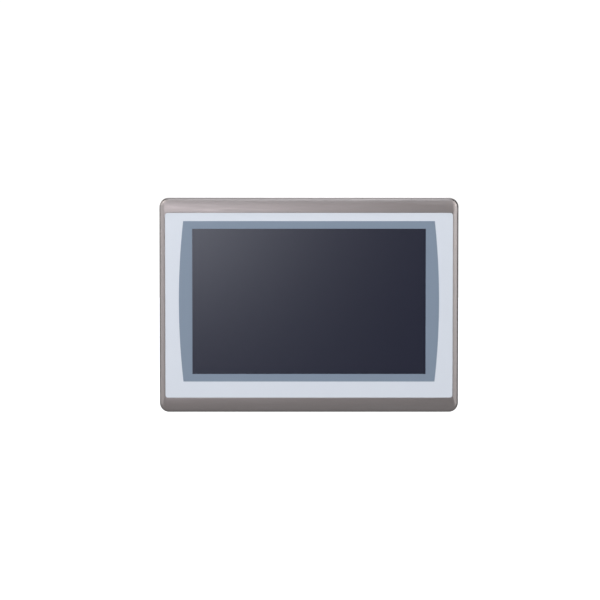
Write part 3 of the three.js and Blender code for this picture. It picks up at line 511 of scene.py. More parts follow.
def satin_bezel_metal():
    """Satin metal brushed from left to right, with a faint warm and cool drift in the brushing, and edges
    lightened to a cool grey that is part wear and part painted highlight.
    """
    look = Finish("satin_bezel_metal", (0.264, 0.232, 0.219), 0.36, 1.0)
    streak = look.effect(BRUSHING, "Streak", Stretch=(0.02, 1.0, 1.0), Scale=1500.0)
    broad = look.effect(BRUSHING, "Broad", Stretch=(0.06, 1.0, 1.0), Scale=500.0)
    look.blend_to((0.312, 0.251, 0.226), broad, 0.55)
    look.blend_to((0.210, 0.199, 0.197), streak, 0.45)
    # Painted highlight: the bezel's edges and the crease of its roll are lightened to a cool grey, partly as
    # edge wear and partly as the cool sheen the roll catches from the lamps.
    look.blend_to((0.50, 0.50, 0.53), look.effect(EDGE_WEAR_AND_HIGHLIGHT, "Edge", Reach=0.0004, Amount=0.6), 0.4)
    look.vary_roughness(streak, 0.30, 0.44, 0.3, 0.7)
    look.raise_by(streak, 0.000012)
    return look.done()


def printed_film(name, colour, shade):
    """The velvet-textured polyester film of the overlay over its back print."""
    look = Finish(name, colour, 0.42)
    patch = look.effect(PATCHES, "Patch", Scale=14.0, Contrast=1.2)
    look.blend_to(shade, patch, 0.35)
    look.vary_roughness(look.effect(GRAIN, "Shade", Scale=2600.0), 0.38, 0.47)
    look.raise_by(look.effect(GRAIN, "Height", Scale=2600.0), 0.000012)
    return look.set(Specular_IOR_Level=0.4).done()


def screen_film(name, colour, roughness):
    """The clear part of the overlay, over a display that is off."""
    look = Finish(name, colour, roughness)
    patch = look.effect(PATCHES, "Patch", Scale=7.0, Contrast=0.6)
    look.blend_to([c * 1.2 for c in colour], patch, 0.5)
    look.vary_roughness(patch, roughness - 0.005, roughness + 0.01)
    return look.done()


def zinc_sheet_metal():
    """Zinc-plated sheet: a rolling direction, cloudy plating, dull finger marks and settled dust."""
    look = Finish("zinc_sheet_metal", (0.56, 0.57, 0.575), 0.34, 1.0)
    streak = look.effect(BRUSHING, "Streak", Stretch=(0.05, 1.0, 1.0), Scale=420.0)
    patch = look.effect(PATCHES, "Patch", Scale=16.0, Contrast=2.2)
    look.blend_to((0.47, 0.475, 0.47), patch, 0.8)
    look.blend_to((0.64, 0.65, 0.66), streak, 0.35)
    look.blend_to((0.80, 0.80, 0.80), look.effect(EDGE_WEAR_AND_HIGHLIGHT, "Edge", Reach=0.0007), 0.7)
    look.blend_to((0.52, 0.50, 0.47), look.effect(DUST, "Dust", Amount=0.6), 0.5)
    look.vary_roughness(patch, 0.30, 0.46, 0.25, 0.75)
    look.raise_by(streak, 0.00001)
    return look.done()


def board_laminate():
    """Green solder mask over copper tracks and planes."""
    look = Finish("board_laminate", (0.012, 0.085, 0.042), 0.32)
    tracks = look.add("ShaderNodeTexBrick", offset=0.37, squash=1.0)
    tracks.inputs["Scale"].default_value = 210.0
    tracks.inputs["Mortar Size"].default_value = 0.03
    turn = look.add("ShaderNodeMapping")
    turn.inputs["Rotation"].default_value = (math.pi / 2, 0, 0)
    look.wire(look.place, turn.inputs["Vector"])
    look.wire(turn.outputs[0], tracks.inputs["Vector"])
    look.blend_to((0.03, 0.16, 0.075), tracks.outputs["Fac"], 0.9)
    look.blend_to((0.008, 0.06, 0.03), look.effect(PATCHES, "Patch", Scale=60.0, Contrast=3.0), 0.6)
    look.raise_by(tracks.outputs["Fac"], 0.00004)
    return look.coat(0.5, 0.15).done()


def foam_rubber():
    """Closed-cell foam with open pores on its cut faces."""
    look = Finish("foam_rubber", (0.018, 0.018, 0.019), 0.85)
    pores = look.effect(GRAIN, "Height", Scale=1900.0)
    look.blend_to((0.045, 0.045, 0.046), pores, 0.7)
    look.vary_roughness(pores, 0.75, 0.95)
    look.raise_by(pores, 0.00018)
    return look.done()


def extruded_aluminium():
    """Bare aluminium with the lines of its die."""
    look = Finish("extruded_aluminium", (0.60, 0.61, 0.62), 0.35, 1.0)
    streak = look.effect(BRUSHING, "Streak", Stretch=(1.0, 1.0, 0.04), Scale=900.0)
    look.blend_to((0.5, 0.51, 0.52), streak, 0.7)
    look.vary_roughness(streak, 0.28, 0.45, 0.3, 0.7)
    look.raise_by(streak, 0.00002)
    return look.done()


def clear_pipe():
    """Clear acrylic that carries a lamp's light, slightly greenish."""
    look = Finish("clear_pipe", (0.75, 0.86, 0.80), 0.12)
    look.vary_roughness(look.effect(PATCHES, "Patch", Scale=200.0), 0.08, 0.2)
    return look.set(Transmission_Weight=0.6, IOR=1.49).done()


def blank_label():
    """A silver polyester label, printed with nothing but a plain border."""
    look = Finish("blank_label", (0.60, 0.61, 0.62), 0.4, 0.35)
    look.blend_to((0.54, 0.55, 0.56), look.effect(PATCHES, "Patch", Scale=30.0, Contrast=1.6), 0.8)
    look.raise_by(look.effect(GRAIN, "Height", Scale=2200.0), 0.00001)
    return look.done()


def ribbon_cable():
    """Grey flat cable, ribbed by its wires."""
    look = Finish("ribbon_cable", (0.30, 0.31, 0.32), 0.55)
    wires = look.add("ShaderNodeTexWave", bands_direction="X")
    wires.inputs["Scale"].default_value = 160.0
    look.wire(look.place, wires.inputs["Vector"])
    look.blend_to((0.2, 0.21, 0.22), wires.outputs["Fac"], 0.8)
    look.raise_by(wires.outputs["Fac"], 0.0002)
    return look.done()


def amber_flex():
    """Amber flexible circuit, its copper tracks showing through."""
    look = Finish("amber_flex", (0.42, 0.16, 0.03), 0.3)
    tracks = look.add("ShaderNodeTexWave", bands_direction="X")
    tracks.inputs["Scale"].default_value = 260.0
    look.wire(look.place, tracks.inputs["Vector"])
    look.blend_to((0.55, 0.27, 0.07), tracks.outputs["Fac"], 0.8)
    return look.coat(0.5, 0.1).done()


BEZEL_METAL = satin_bezel_metal()
WHITE_PRINT = printed_film("white_print", (0.562, 0.570, 0.596), (0.540, 0.554, 0.588))
BAND_PRINT = printed_film("grey_blue_print", (0.170, 0.207, 0.257), (0.158, 0.196, 0.249))
SCREEN_EDGE = screen_film("screen_edge", (0.0035, 0.0042, 0.0155), 0.26)
SCREEN_DARK = screen_film("screen_dark", (0.0052, 0.0060, 0.0175), 0.26)
HOUSING_PLASTIC = moulded("housing_plastic", (0.022, 0.023, 0.025), 0.5)
LEVER_PLASTIC = moulded("lever_plastic", (0.24, 0.255, 0.275), 0.45, grain=1800.0)
BLACK_PLASTIC = moulded("black_plastic", (0.014, 0.014, 0.015), 0.42, grain=2000.0)
TERMINAL_PLASTIC = moulded("terminal_plastic", (0.02, 0.23, 0.085), 0.45, grain=2200.0)
WHITE_PLASTIC = moulded("white_plastic", (0.62, 0.63, 0.63), 0.4, grain=2200.0, wear=0.1)
CARD_PLASTIC = moulded("card_plastic", (0.025, 0.05, 0.13), 0.4, grain=2200.0)
CHIP_PLASTIC = moulded("chip_plastic", (0.02, 0.02, 0.021), 0.55, grain=2600.0, wear=0.15)
FOAM = foam_rubber()
ZINC = zinc_sheet_metal()
STEEL = plated("plated_steel", (0.66, 0.67, 0.68), 0.26)
BRASS = plated("yellow_passivated_brass", (0.62, 0.43, 0.16), 0.28)
GOLD = plated("gilt_contacts", (0.83, 0.60, 0.25), 0.22)
ALUMINIUM = extruded_aluminium()
BOARD = board_laminate()
LIGHT_PIPE = clear_pipe()
LABEL = blank_label()
LABEL_INK = moulded("label_ink", (0.10, 0.11, 0.12), 0.45, wear=0.0)
CABLE = ribbon_cable()
FLEX = amber_flex()

# ------------------------------------------------------------------ bezel and overlay

ROLL_WIDTH, ROLL_DEPTH = 4.4, 3.1  # the rolled outer edge, as a quarter of an ellipse
ROLL_TOP_Y = -2.4
ROLL_END = math.radians(76)
ROLL_STEPS = 9
BEZEL_CORNER = 10.5
CORNER_STEPS = 14
RIM_Y = BEZEL_LOW.y
POCKET_GAP = 0.25
OVERLAY_HALF = Vector((OVERLAY_HIGH.x, 0, OVERLAY_HIGH.z))
OVERLAY_CORNER = 3
OVERLAY_DROP = -0.3
OPENING_HALF = (143, 93.5)  # the hole behind the overlay, for the display
SEAL_WIDTH, SEAL_GAP = 6.5, 0.3
SEAL_CORNERS = (8, 5)  # outside and inside


def slab(name, half_x, half_z, middle_z, y_front, y_back, corner):
    """A flat rounded plate across the terminal, by its half sizes."""
    return rounded_block(
        name, (-half_x, y_front, middle_z - half_z), (half_x, y_back, middle_z + half_z),
        corner, "Y", CORNER_STEPS,
    )


def make_bezel():
    """The metal frame: its rolled edge, the overlay's pocket, the display's opening and the seal's groove."""
    bezel = slab("bezel", BEZEL_HIGH.x, BEZEL_HIGH.z, 0, ROLL_TOP_Y, BEZEL_HIGH.y, BEZEL_CORNER)
    open_up(bezel)
    choose("FACE", lambda face: face.normal.y < -0.9)
    before = 0.0
    for step in range(1, ROLL_STEPS + 1):
        angle = ROLL_END * step / ROLL_STEPS
        inward = ROLL_WIDTH * (math.cos(before) - math.cos(angle))
        forward = ROLL_DEPTH * (math.sin(angle) - math.sin(before))
        bpy.ops.mesh.inset(thickness=inward * MM, depth=forward * MM)
        before = angle
    bpy.ops.mesh.delete(type="ONLY_FACE")
    put_down()

    pocket = slab(
        "pocket", OVERLAY_HALF.x + POCKET_GAP, OVERLAY_HALF.z + POCKET_GAP, OVERLAY_DROP,
        RIM_Y, OVERLAY_HIGH.y, OVERLAY_CORNER + POCKET_GAP,
    )
    open_up(pocket)
    choose("FACE", lambda face: face.normal.y < -0.9)
    bpy.ops.mesh.delete(type="ONLY_FACE")
    bpy.ops.mesh.select_all(action="SELECT")
    bpy.ops.mesh.flip_normals()
    put_down()
    bezel = fuse([bezel, pocket], "bezel")
    open_up(bezel)
    choose("EDGE", lambda edge: edge.is_boundary)
    bpy.ops.mesh.bridge_edge_loops()
    choose("EDGE", lambda edge: abs(middle(edge).y - RIM_Y) < 0.01 and sharp(edge))
    round_off(0.22, 3)
    bpy.ops.mesh.select_all(action="SELECT")
    bpy.ops.mesh.normals_make_consistent(inside=False)
    put_down()

    opening = slab("opening", *OPENING_HALF, DISPLAY_Z, -8, 0, 4)
    seal_x, seal_z = SEAL_HIGH.x, SEAL_HIGH.z
    outer, inner = SEAL_CORNERS
    groove = slab("groove", seal_x + SEAL_GAP, seal_z + SEAL_GAP, 0, SEAL_LOW.y - 0.05, 0, outer)
    inset = SEAL_WIDTH + SEAL_GAP
    tongue = slab("tongue", seal_x - inset, seal_z - inset, 0, -4, 1, inner)
    carve(bezel, [carve(groove, [tongue]), opening])
    paint(bezel, BEZEL_METAL)
    return place_on(close_up(bezel, 40), "terminal_body", "satin_metal", "bezel_frame")


BAND_HALF_WIDTH = 142.8
BAND_BULGE = 5.05
BAND_MARGIN = 8.65
WINDOW_HALF = (132.6, 82.55)
WINDOW_RIM = 2
SIDE_STEPS = 32


def make_overlay():
    """One flat sheet: the window, the band whose ends bow outwards, and the white border round it."""
    front, back = OVERLAY_LOW.y, OVERLAY_HIGH.y
    window_x, window_z = WINDOW_HALF
    inner_x, inner_z = window_x - WINDOW_RIM, window_z - WINDOW_RIM
    band_half = window_z + BAND_MARGIN
    white, band, edge_tone, dark = range(4)
    centre = Vector((0, front, DISPLAY_Z)) * MM
    put_down()
    bpy.ops.mesh.primitive_plane_add(size=1, location=centre, rotation=(math.pi / 2, 0, 0))
    bpy.context.object.scale = Vector((2 * inner_x, 2 * inner_z, 1)) * MM
    overlay = settle(bpy.context.object, "overlay")
    paint(overlay, WHITE_PRINT, BAND_PRINT, SCREEN_EDGE, SCREEN_DARK)

    open_up(overlay)
    bpy.ops.mesh.select_all(action="SELECT")
    cover_selected(overlay, dark)

    def grow(index, wide, high, low_wide, low_high):
        """A ring of new faces round the sheet, out to these half sizes."""
        choose("EDGE", lambda edge: edge.is_boundary)
        bpy.ops.mesh.extrude_edges_move()
        bpy.ops.transform.resize(value=(wide / low_wide, 1, high / low_high), center_override=centre)
        choose(
            "FACE", lambda face: abs(middle(face).x) > low_wide or abs(middle(face).z - DISPLAY_Z) > low_high
        )
        cover_selected(overlay, index)

    grow(edge_tone, window_x, window_z, inner_x, inner_z)
    grow(band, BAND_HALF_WIDTH, band_half, window_x, window_z)

    choose("EDGE", lambda edge: edge.is_boundary and runs_along(edge, "Z"))
    bpy.ops.mesh.subdivide(number_cuts=SIDE_STEPS - 1)
    radius = (band_half**2 + BAND_BULGE**2) / (2 * BAND_BULGE)
    for step in range(1, SIDE_STEPS):
        up = band_half * (2 * step / SIDE_STEPS - 1)
        bow = math.sqrt(radius**2 - up**2) - (radius - BAND_BULGE)
        for side in (-1, 1):
            choose(
                "VERT",
                lambda point: abs(point.co.z / MM - DISPLAY_Z - up) < 0.01
                and side * point.co.x / MM > BAND_HALF_WIDTH - 0.01,
            )
            bpy.ops.transform.translate(value=(side * bow * MM, 0, 0))

    choose("EDGE", lambda edge: edge.is_boundary)
    bpy.ops.mesh.extrude_edges_move()
    bpy.ops.transform.resize(value=(1, 1, OVERLAY_HALF.z / band_half), center_override=centre)
    bpy.ops.transform.translate(value=(0, 0, (OVERLAY_DROP - DISPLAY_Z) * MM))
    for side in (-1, 1):
        choose("VERT", lambda point: point.is_boundary and side * point.co.x > 0)
        border = Vector((side * OVERLAY_HALF.x, front, 0)) * MM
        bpy.ops.transform.resize(value=(0, 1, 1), center_override=border)

    def on_border(point):
        return abs(point.co.x) > (OVERLAY_HALF.x - 0.01) * MM

    choose("FACE", lambda face: any(on_border(point) for point in face.verts))
    cover_selected(overlay, white)
    choose(
        "VERT",
        lambda point: on_border(point) and abs(abs(point.co.z / MM - OVERLAY_DROP) - OVERLAY_HALF.z) < 0.01,
    )
    bpy.ops.mesh.bevel(offset=OVERLAY_CORNER * MM, segments=CORNER_STEPS, affect="VERTICES")
    bpy.ops.mesh.select_all(action="SELECT")
    bpy.ops.mesh.extrude_region_move(TRANSFORM_OT_translate={"value": (0, (back - front) * MM, 0)})
    bpy.ops.mesh.select_all(action="SELECT")
    bpy.ops.mesh.normals_make_consistent(inside=False)
    put_down()
    return place_on(close_up(overlay, 30), "terminal_body", "printed_film", "front_overlay")


make_bezel()
make_overlay()

# ------------------------------------------------------------------ seal and rear housing


def make_seal():
    """The foam ring that presses on the cabinet's door."""
    half_x, half_z = SEAL_HIGH.x, SEAL_HIGH.z
    outer, inner = SEAL_CORNERS
    seal = slab("seal", half_x, half_z, 0, SEAL_LOW.y, SEAL_HIGH.y, outer)
    inside = slab("inside", half_x - SEAL_WIDTH, half_z - SEAL_WIDTH, 0, SEAL_LOW.y - 1, SEAL_HIGH.y + 1, inner)
    round_rim(carve(seal, [inside]), SEAL_HIGH.y, 0.8, 3, least=40)
    paint(seal, FOAM)
    return place_on(close_up(seal), "terminal_body", "seal_foam", "panel_gasket")


BACK_Y = HOUSING_HIGH.y
WALL = 2.5
SCREW_X, SCREW_Z = 146.5, 99.5
COLUMN_RADIUS, COLUMN_MIDDLE = 4.2, 12
SEAT_RADIUS, SEAT_DEPTH = 3.3, 3.1
WELL_MIDDLE = (-138.6, 40)  # the battery's well
WELL_HALF = (12.4, 16)
WELL_FLOOR_Y, WELL_WALL = 14, 1.2
UPPER_VENTS = [(20 + 9 * i, 98.5) for i in range(12)]  # those at the right; the left has the same
LOWER_VENTS = [(62, -72 - 8 * i) for i in range(4)]
CABLE_OPENING = (-85, -30, 85, 54)  # left, bottom, right and top, under the cover
LEVER_Y, KEYHOLE_Y = 12, 17.6
KEYHOLE_RADIUS, SLOT_RADIUS = 4.8, 3.1
LEVERS = [(x, HOUSING_HIGH.z, 0) for x in (-105, 0, 105)]
LEVERS += [(x, HOUSING_LOW.z, math.pi) for x in (-105, 0, 105)]
LEVERS += [(HOUSING_LOW.x, 0, -math.pi / 2), (HOUSING_HIGH.x, 0, math.pi / 2)]


def slot_cutter(x, z, width, height, y_front, y_back):
    """A cutter with round ends through a wall that faces the back."""
    corner = min(width, height) / 2 - 0.05
    return rounded_block(
        "slot", (x - width / 2, y_front, z - height / 2), (x + width / 2, y_back, z + height / 2),
        corner, "Y", 4,
    )


def keyhole_cutter(lever):
    """A round hole that takes a lever's flange, and the narrower slot that holds it."""
    x, z, turn = lever
    wide = rod("wide_end", (0, KEYHOLE_Y, 0), KEYHOLE_RADIUS, 8, "Z", 24)
    narrow = rod("narrow_end", (0, LEVER_Y, 0), SLOT_RADIUS, 8, "Z", 24)
    neck = block("neck", (-SLOT_RADIUS, LEVER_Y, -4), (SLOT_RADIUS, KEYHOLE_Y, 4))
    tool = carve(carve(wide, [neck], "UNION"), [narrow], "UNION")
    moved = twin(tool, "keyhole", (x, 0, z), Matrix.Rotation(turn, 3, "Y"))
    bpy.data.objects.remove(tool)
    return moved


def make_housing():
    """The moulded box behind the door, with a shallow recess over its whole back."""
    housing = slab("housing", HOUSING_HIGH.x, HOUSING_HIGH.z, 0, HOUSING_LOW.y, BACK_Y, 5)
    open_up(housing)
    choose("FACE", lambda face: face.normal.y > 0.9)
    bpy.ops.mesh.inset(thickness=3.5 * MM, depth=0)
    bpy.ops.mesh.inset(thickness=0.5 * MM, depth=-0.45 * MM)
    put_down()
    round_rim(housing, BACK_Y, 1.5, 4, least=60)

    inner_x, inner_z = HOUSING_HIGH.x - WALL, HOUSING_HIGH.z - WALL
    hollow = slab("hollow", inner_x, inner_z, 0, HOUSING_LOW.y - 1, BACK_Y - WALL, 2.5)
    well_x, well_z = WELL_MIDDLE
    half_x, half_z = WELL_HALF
    outer_x, outer_z = half_x + WELL_WALL, half_z + WELL_WALL
    well = block(
        "well", (well_x - outer_x, WELL_FLOOR_Y - WELL_WALL, well_z - outer_z),
        (well_x + outer_x, BACK_Y, well_z + outer_z),
    )
    column_length = 2 * (COLUMN_MIDDLE - HOUSING_LOW.y)
    columns = [
        rod("column", (x, COLUMN_MIDDLE, z), COLUMN_RADIUS, column_length, sides=24)
        for x in (-SCREW_X, SCREW_X) for z in (-SCREW_Z, SCREW_Z)
    ]
    carve(housing, [carve(hollow, [well, *columns])])

    well_hollow = rounded_block(
        "well_hollow", (well_x - half_x, WELL_FLOOR_Y, well_z - half_z),
        (well_x + half_x, BACK_Y + 1, well_z + half_z), 0.8, "Y", 3,
    )
    left, bottom, right, top = CABLE_OPENING
    cutters = [well_hollow, block("cable_opening", (left, 15, bottom), (right, BACK_Y + 1, top))]
    for side in (-1, 1):
        cutters += [
            rod("seat", (side * SCREW_X, BACK_Y - 1, z), SEAT_RADIUS, 2 * (SEAT_DEPTH - 1))
            for z in (-SCREW_Z, SCREW_Z)
        ]
        cutters += [slot_cutter(side * x, z, 3.2, 9, 20, BACK_Y + 1) for x, z in UPPER_VENTS]
        cutters += [slot_cutter(side * x, z, 76, 3.2, 20, BACK_Y + 1) for x, z in LOWER_VENTS]
    carve(housing, [fuse(cutters, "cutters"), fuse([keyhole_cutter(lever) for lever in LEVERS], "keyholes")])
    paint(housing, HOUSING_PLASTIC)
    return place_on(close_up(housing), "terminal_body", "black_plastic", "rear_housing")


def make_battery_door():
    """The lid over the coin cell: a barrel at its hinge, a thumb notch, grip lines and a snap hook."""
    low, high = place_of("battery_door")
    pivot_x, back, middle_z = low.x + 1, high.y, (low.z + high.z) / 2
    door = block("battery_lid", (pivot_x, back - 2, low.z), (high.x, back, high.z))
    open_up(door)
    choose("EDGE", lambda edge: lies_at(back, edge) and middle(edge).x > pivot_x + 0.1)
    round_off(0.5, 3)
    put_down()
    carve(door, [rod("barrel", (pivot_x, back - 1, middle_z), 1, high.z - low.z, "Z", 24)], "UNION")
    lines = [
        slot_cutter(high.x - 7 - 1.6 * i, middle_z, 0.7, 18 - 2 * i, back - 0.4, back + 1) for i in range(5)
    ]
    carve(door, [rod("thumb_notch", (high.x - 0.5, back, middle_z), 4, 2), *lines])
    snap = block("snap", (high.x - 2.4, low.y, middle_z - 4), (high.x - 1.2, back - 1, middle_z + 4))
    carve(door, [snap], "UNION")
    paint(door, HOUSING_PLASTIC)
    return place_on(close_up(door), "battery_lid", "black_plastic", "battery_door")


make_seal()
make_housing()
make_battery_door()

# ------------------------------------------------------------------ cam levers

LEVER_BASE, LEVER_TOP, LIP_TOP = 0.3, 6.3, 7.6
HUB_RADIUS = 6
ARM_HALF, ARM_END = 4.2, 27
STEM_RADIUS, FLANGE_RADIUS = 2.8, 4.3


def wrap(pieces, name):
    """The convex shape round some pieces."""
    piece = fuse(pieces, name)
    open_up(piece)
    bpy.ops.mesh.select_all(action="SELECT")
    bpy.ops.mesh.convex_hull()
    bpy.ops.mesh.select_all(action="SELECT")
    bpy.ops.mesh.dissolve_limited(angle_limit=math.radians(1))
    put_down()
    return piece


def lever_rod(name, x, y, radius, sides=40):
    """A disc as thick as a lever."""
    return rod(name, (x, y, (LEVER_BASE + LEVER_TOP) / 2), radius, LEVER_TOP - LEVER_BASE, "Z", sides)


def sample_lever():
    """One lever about its own pivot, its arm along +Y and its outer face up."""
    lever = wrap([lever_rod("hub", 0, 0, HUB_RADIUS), lever_rod("lobe", 5.8, -0.8, 4.5)], "lever")
    arm = wrap([lever_rod("root", 0, 3, ARM_HALF), lever_rod("end", 0, ARM_END, ARM_HALF)], "arm")
    carve(lever, [arm], "UNION")
    web = wrap([lever_rod("web", 6, 1.5, 3.2, 24), lever_rod("web_end", 2.2, 7.6, 2, 24)], "web")
    carve(lever, [web], "UNION")
    open_up(lever)
    for height, width in ((LEVER_TOP, 0.7), (LEVER_BASE, 0.3)):
        choose(
            "EDGE", lambda edge: all(abs(p.co.z / MM - height) < 0.01 for p in edge.verts) and sharp(edge, 60)
        )
        round_off(width, 3)
    put_down()
    hollow = rounded_block("hollow", (-2.6, 7.5, LEVER_TOP - 1.6), (2.6, 23.5, LEVER_TOP + 1), 2.4, "Z", 6)
    ring = rod("ring", (0, 0, LEVER_TOP), 4.3, 1, "Z", 40)
    carve(ring, [rod("island", (0, 0, LEVER_TOP), 3.5, 3, "Z", 40)])
    carve(lever, [hollow, ring])
    rib = block("rib", (-2.7, 14.9, LEVER_TOP - 2), (2.7, 16.1, LEVER_TOP - 0.5))
    lip = block("lip", (-ARM_HALF, ARM_END - 1, LEVER_TOP - 1), (ARM_HALF, ARM_END + 1.5, LIP_TOP))
    open_up(lip)
    choose("EDGE", lambda edge: middle(edge).z > LIP_TOP - 0.1 or runs_along(edge, "Z"))
    round_off(0.6, 3)
    put_down()
    carve(lever, [rib], "UNION")
    carve(lever, [lip], "UNION")
    stem = rod("stem", (0, 0, -1.05), STEM_RADIUS, 4.1, "Z")
    flange = rod("flange", (0, 0, -3.55), FLANGE_RADIUS, 1.5, "Z")
    fuse([lever, stem, flange], "lever")
    return close_up(paint(lever, LEVER_PLASTIC))


def make_levers():
    """Eight copies of one lever, each on its own body."""
    sample = sample_lever()
    for number, (x, z, turn) in enumerate(LEVERS, 1):
        lever = twin(sample, f"lever_{number}_arm", (x, LEVER_Y, z), Matrix.Rotation(turn, 3, "Y"))
        place_on(lever, f"lever_{number}", "grey_plastic", f"mounting_lever_{number}")
    bpy.data.objects.remove(sample)


make_levers()

# ------------------------------------------------------------------ screws


def sample_screw(radius, height, shank, length, material):
    """A pan-head screw with a cross recess: the head's underside at y = 0, its top towards +Y."""
    screw = round_rim(rod("screw", (0, height / 2, 0), radius, height, sides=40), height, height * 0.5, 5)
    arm, bottom, slit = radius * 0.55, height * 0.4, 0.42
    cross = block("cross", (-arm, bottom, -slit), (arm, height + 1, slit))
    carve(cross, [block("bar", (-slit, bottom, -arm), (slit, height + 1, arm))], "UNION")
    carve(screw, [cross])
    fuse([screw, rod("shank", (0, -length / 2, 0), shank, length, sides=20)], "screw")
    return close_up(paint(screw, material))


def place_screws(sample, nodes, seat_y, spots, slot="tinned_steel"):
    """A copy of the sample for each node, its recess turned a little on from the last."""
    for number, (node, (x, z)) in enumerate(zip(nodes, spots), 1):
        turn = Matrix.Rotation(0.7 * number, 3, "Y")
        place_on(twin(sample, f"{node}_head", (x, seat_y, z), turn), "terminal_body", slot, node)
    bpy.data.objects.remove(sample)


def washer_notch(step):
    """One notch of a toothed washer, a twelfth of a turn on from the last."""
    tooth = block("tooth", (3.2, -1, -0.3), (5, 2, 0.3))
    turned = twin(tooth, "notch", turned=Matrix.Rotation(step * math.pi / 6, 3, "Y"))
    bpy.data.objects.remove(tooth)
    return turned


def make_screws():
    """The housing's and the cover's screws, and the ground screw with its toothed washer."""
    nodes = [f"housing_screw_{number}" for number in range(1, 5)]
    spots = [(x, z) for z in (SCREW_Z, -SCREW_Z) for x in (-SCREW_X, SCREW_X)]
    place_screws(sample_screw(2.9, 2.3, 1.45, 26.4, STEEL), nodes, BACK_Y - SEAT_DEPTH + 0.05, spots)
    nodes = [f"cover_screw_{number}" for number in range(1, 9)]
    spots = [(middle_of(node).x, middle_of(node).z) for node in nodes]
    place_screws(sample_screw(2.8, 2.0, 1.45, 7, STEEL), nodes, BACK_Y + 1.25, spots)
    ground = sample_screw(3.6, 2.6, 1.95, 8, BRASS)
    washer = rod("washer", (0, 0.2, 0), 4.3, 0.8, sides=24)
    carve(washer, [washer_notch(step) for step in range(12)])
    fuse([ground, paint(washer, BRASS)], "ground")
    spot = middle_of("ground_screw")
    place_screws(ground, ["ground_screw"], BACK_Y + 1.5, [(spot.x, spot.z)], "brass_plate")


make_screws()

# ------------------------------------------------------------------ sheet-metal cover and port plate

SHEET = 1.2
FLANGE = 10
COVER_HALF = COVER_HIGH.x - FLANGE
COVER_TOP = COVER_HIGH.z - FLANGE
COVER_FRONT = COVER_LOW.y
COVER_BACK = COVER_HIGH.y
PART_Y = 34.8  # the circuit board's surface
CARD_SLOT = (13, 3.4)  # half its width, and its height


def cover_slots():
    """Ventilation slots with round ends: on the back, the top and both sides."""
    cutters = [
        slot_cutter(x, 33 + 7 * row, 46, 3, COVER_BACK - 3, COVER_BACK + 1)
        for x in (-56, 0, 56) for row in range(6)
    ]
    for x in range(-84, 85, 12):
        low, high = (x - 1.5, 33, COVER_TOP - 3), (x + 1.5, 56, COVER_TOP + 2)
        cutters.append(rounded_block("slot", low, high, 1.45, "Z", 4))
    for x in (-COVER_HALF, COVER_HALF):
        for z in range(6, 78, 12):
            cutters.append(rounded_block("slot", (x - 3, 43, z - 1.5), (x + 3, 58, z + 1.5), 1.45, "X", 4))
    return cutters


def cover_holes():
    """Holes for the two lights, the reset button and the memory card."""
    holes = []
    for node, radius in (("status_light_1", 1.8), ("status_light_2", 1.8), ("reset_button", 2.1)):
        holes.append(rod("hole", (middle_of(node).x, COVER_BACK, middle_of(node).z), radius, 5))
    z = middle_of("sd_card").z
    half, height = CARD_SLOT
    low, high = (COVER_HALF - 4, PART_Y - 0.1, z - half), (COVER_HALF + 2, PART_Y + height, z + half)
    holes.append(block("card_slot", low, high))
    holes.append(rod("thumb", (COVER_HALF, PART_Y + height, z), 7, 6, "X"))
    return holes


def make_cover():
    """The folded sheet-metal box over the electronics, open towards the ports, with flanges round it."""
    cover = rounded_block(
        "cover", (-COVER_HALF, COVER_FRONT, COVER_LOW.z), (COVER_HALF, COVER_BACK, COVER_TOP), 2.5, "Y", 6
    )
    round_rim(cover, COVER_BACK, 1.4, 5, least=60)
    bend = COVER_FRONT + SHEET - 0.05
    flange = rounded_block(
        "flange", (COVER_LOW.x, COVER_FRONT, COVER_LOW.z), (COVER_HIGH.x, bend, COVER_HIGH.z), 3, "Y", 5
    )
    carve(cover, [flange], "UNION")

    def in_bend(edge):
        """Says whether an edge is where the box meets its flange."""
        spot = middle(edge)
        inside = abs(spot.x) < COVER_HALF + 0.1 and COVER_LOW.z + 0.1 < spot.z < COVER_TOP + 0.1
        return inside and lies_at(bend, edge) and sharp(edge, 60)

    open_up(cover)
    choose("EDGE", in_bend)
    round_off(0.9, 3)
    put_down()
    inner = COVER_HALF - SHEET
    hollow = rounded_block(
        "hollow", (-inner, COVER_FRONT - 1, COVER_LOW.z + SHEET),
        (inner, COVER_BACK - SHEET, COVER_TOP - SHEET), 1.3, "Y", 4,
    )
    port_side = block(
        "port_side", (-inner, COVER_FRONT - 1, COVER_LOW.z - 1), (inner, COVER_BACK - SHEET, COVER_LOW.z + 4)
    )
    carve(cover, [carve(hollow, [port_side], "UNION")])
    carve(cover, [*cover_holes(), fuse(cover_slots(), "slots")])
    studs = [
        round_rim(rod("stud_head", (x, COVER_BACK, z), 2.2, 0.5), COVER_BACK + 0.25, 0.2, 2)
        for x in (-100, 100) for z in (-38, 68)
    ]
    fuse([cover, *studs], "cover")
    paint(cover, ZINC)
    return place_on(close_up(cover), "terminal_body", "zinc_sheet", "logic_cover")


def make_port_plate():
    """The plate below the cover, cut out for the sockets and with vents at one end."""
    low, high = place_of("port_plate")
    plate = block("port_face", low, high)
    cutters = []
    for node in ("ethernet_port_1", "ethernet_port_2", "usb_host_port_1", "usb_host_port_2", "usb_device_port",
                 "power_header"):
        near, far = place_of(node)
        cutters.append(rounded_block(
            "mouth", (near.x - 0.3, near.y - 0.3, low.z - 1), (far.x + 0.3, far.y + 0.3, high.z + 1),
            0.6, "Z", 3,
        ))
    cutters += [
        rounded_block("slot", (x, 33, low.z - 1), (x + 3, 55, high.z + 1), 1.45, "Z", 4)
        for x in range(75, 107, 8)
    ]
    carve(plate, [fuse(cutters, "cutters")])
    paint(plate, ZINC)
    return place_on(close_up(plate), "terminal_body", "zinc_sheet", "port_plate")


LABEL_MARGIN, LABEL_LINE = 1.8, 0.35


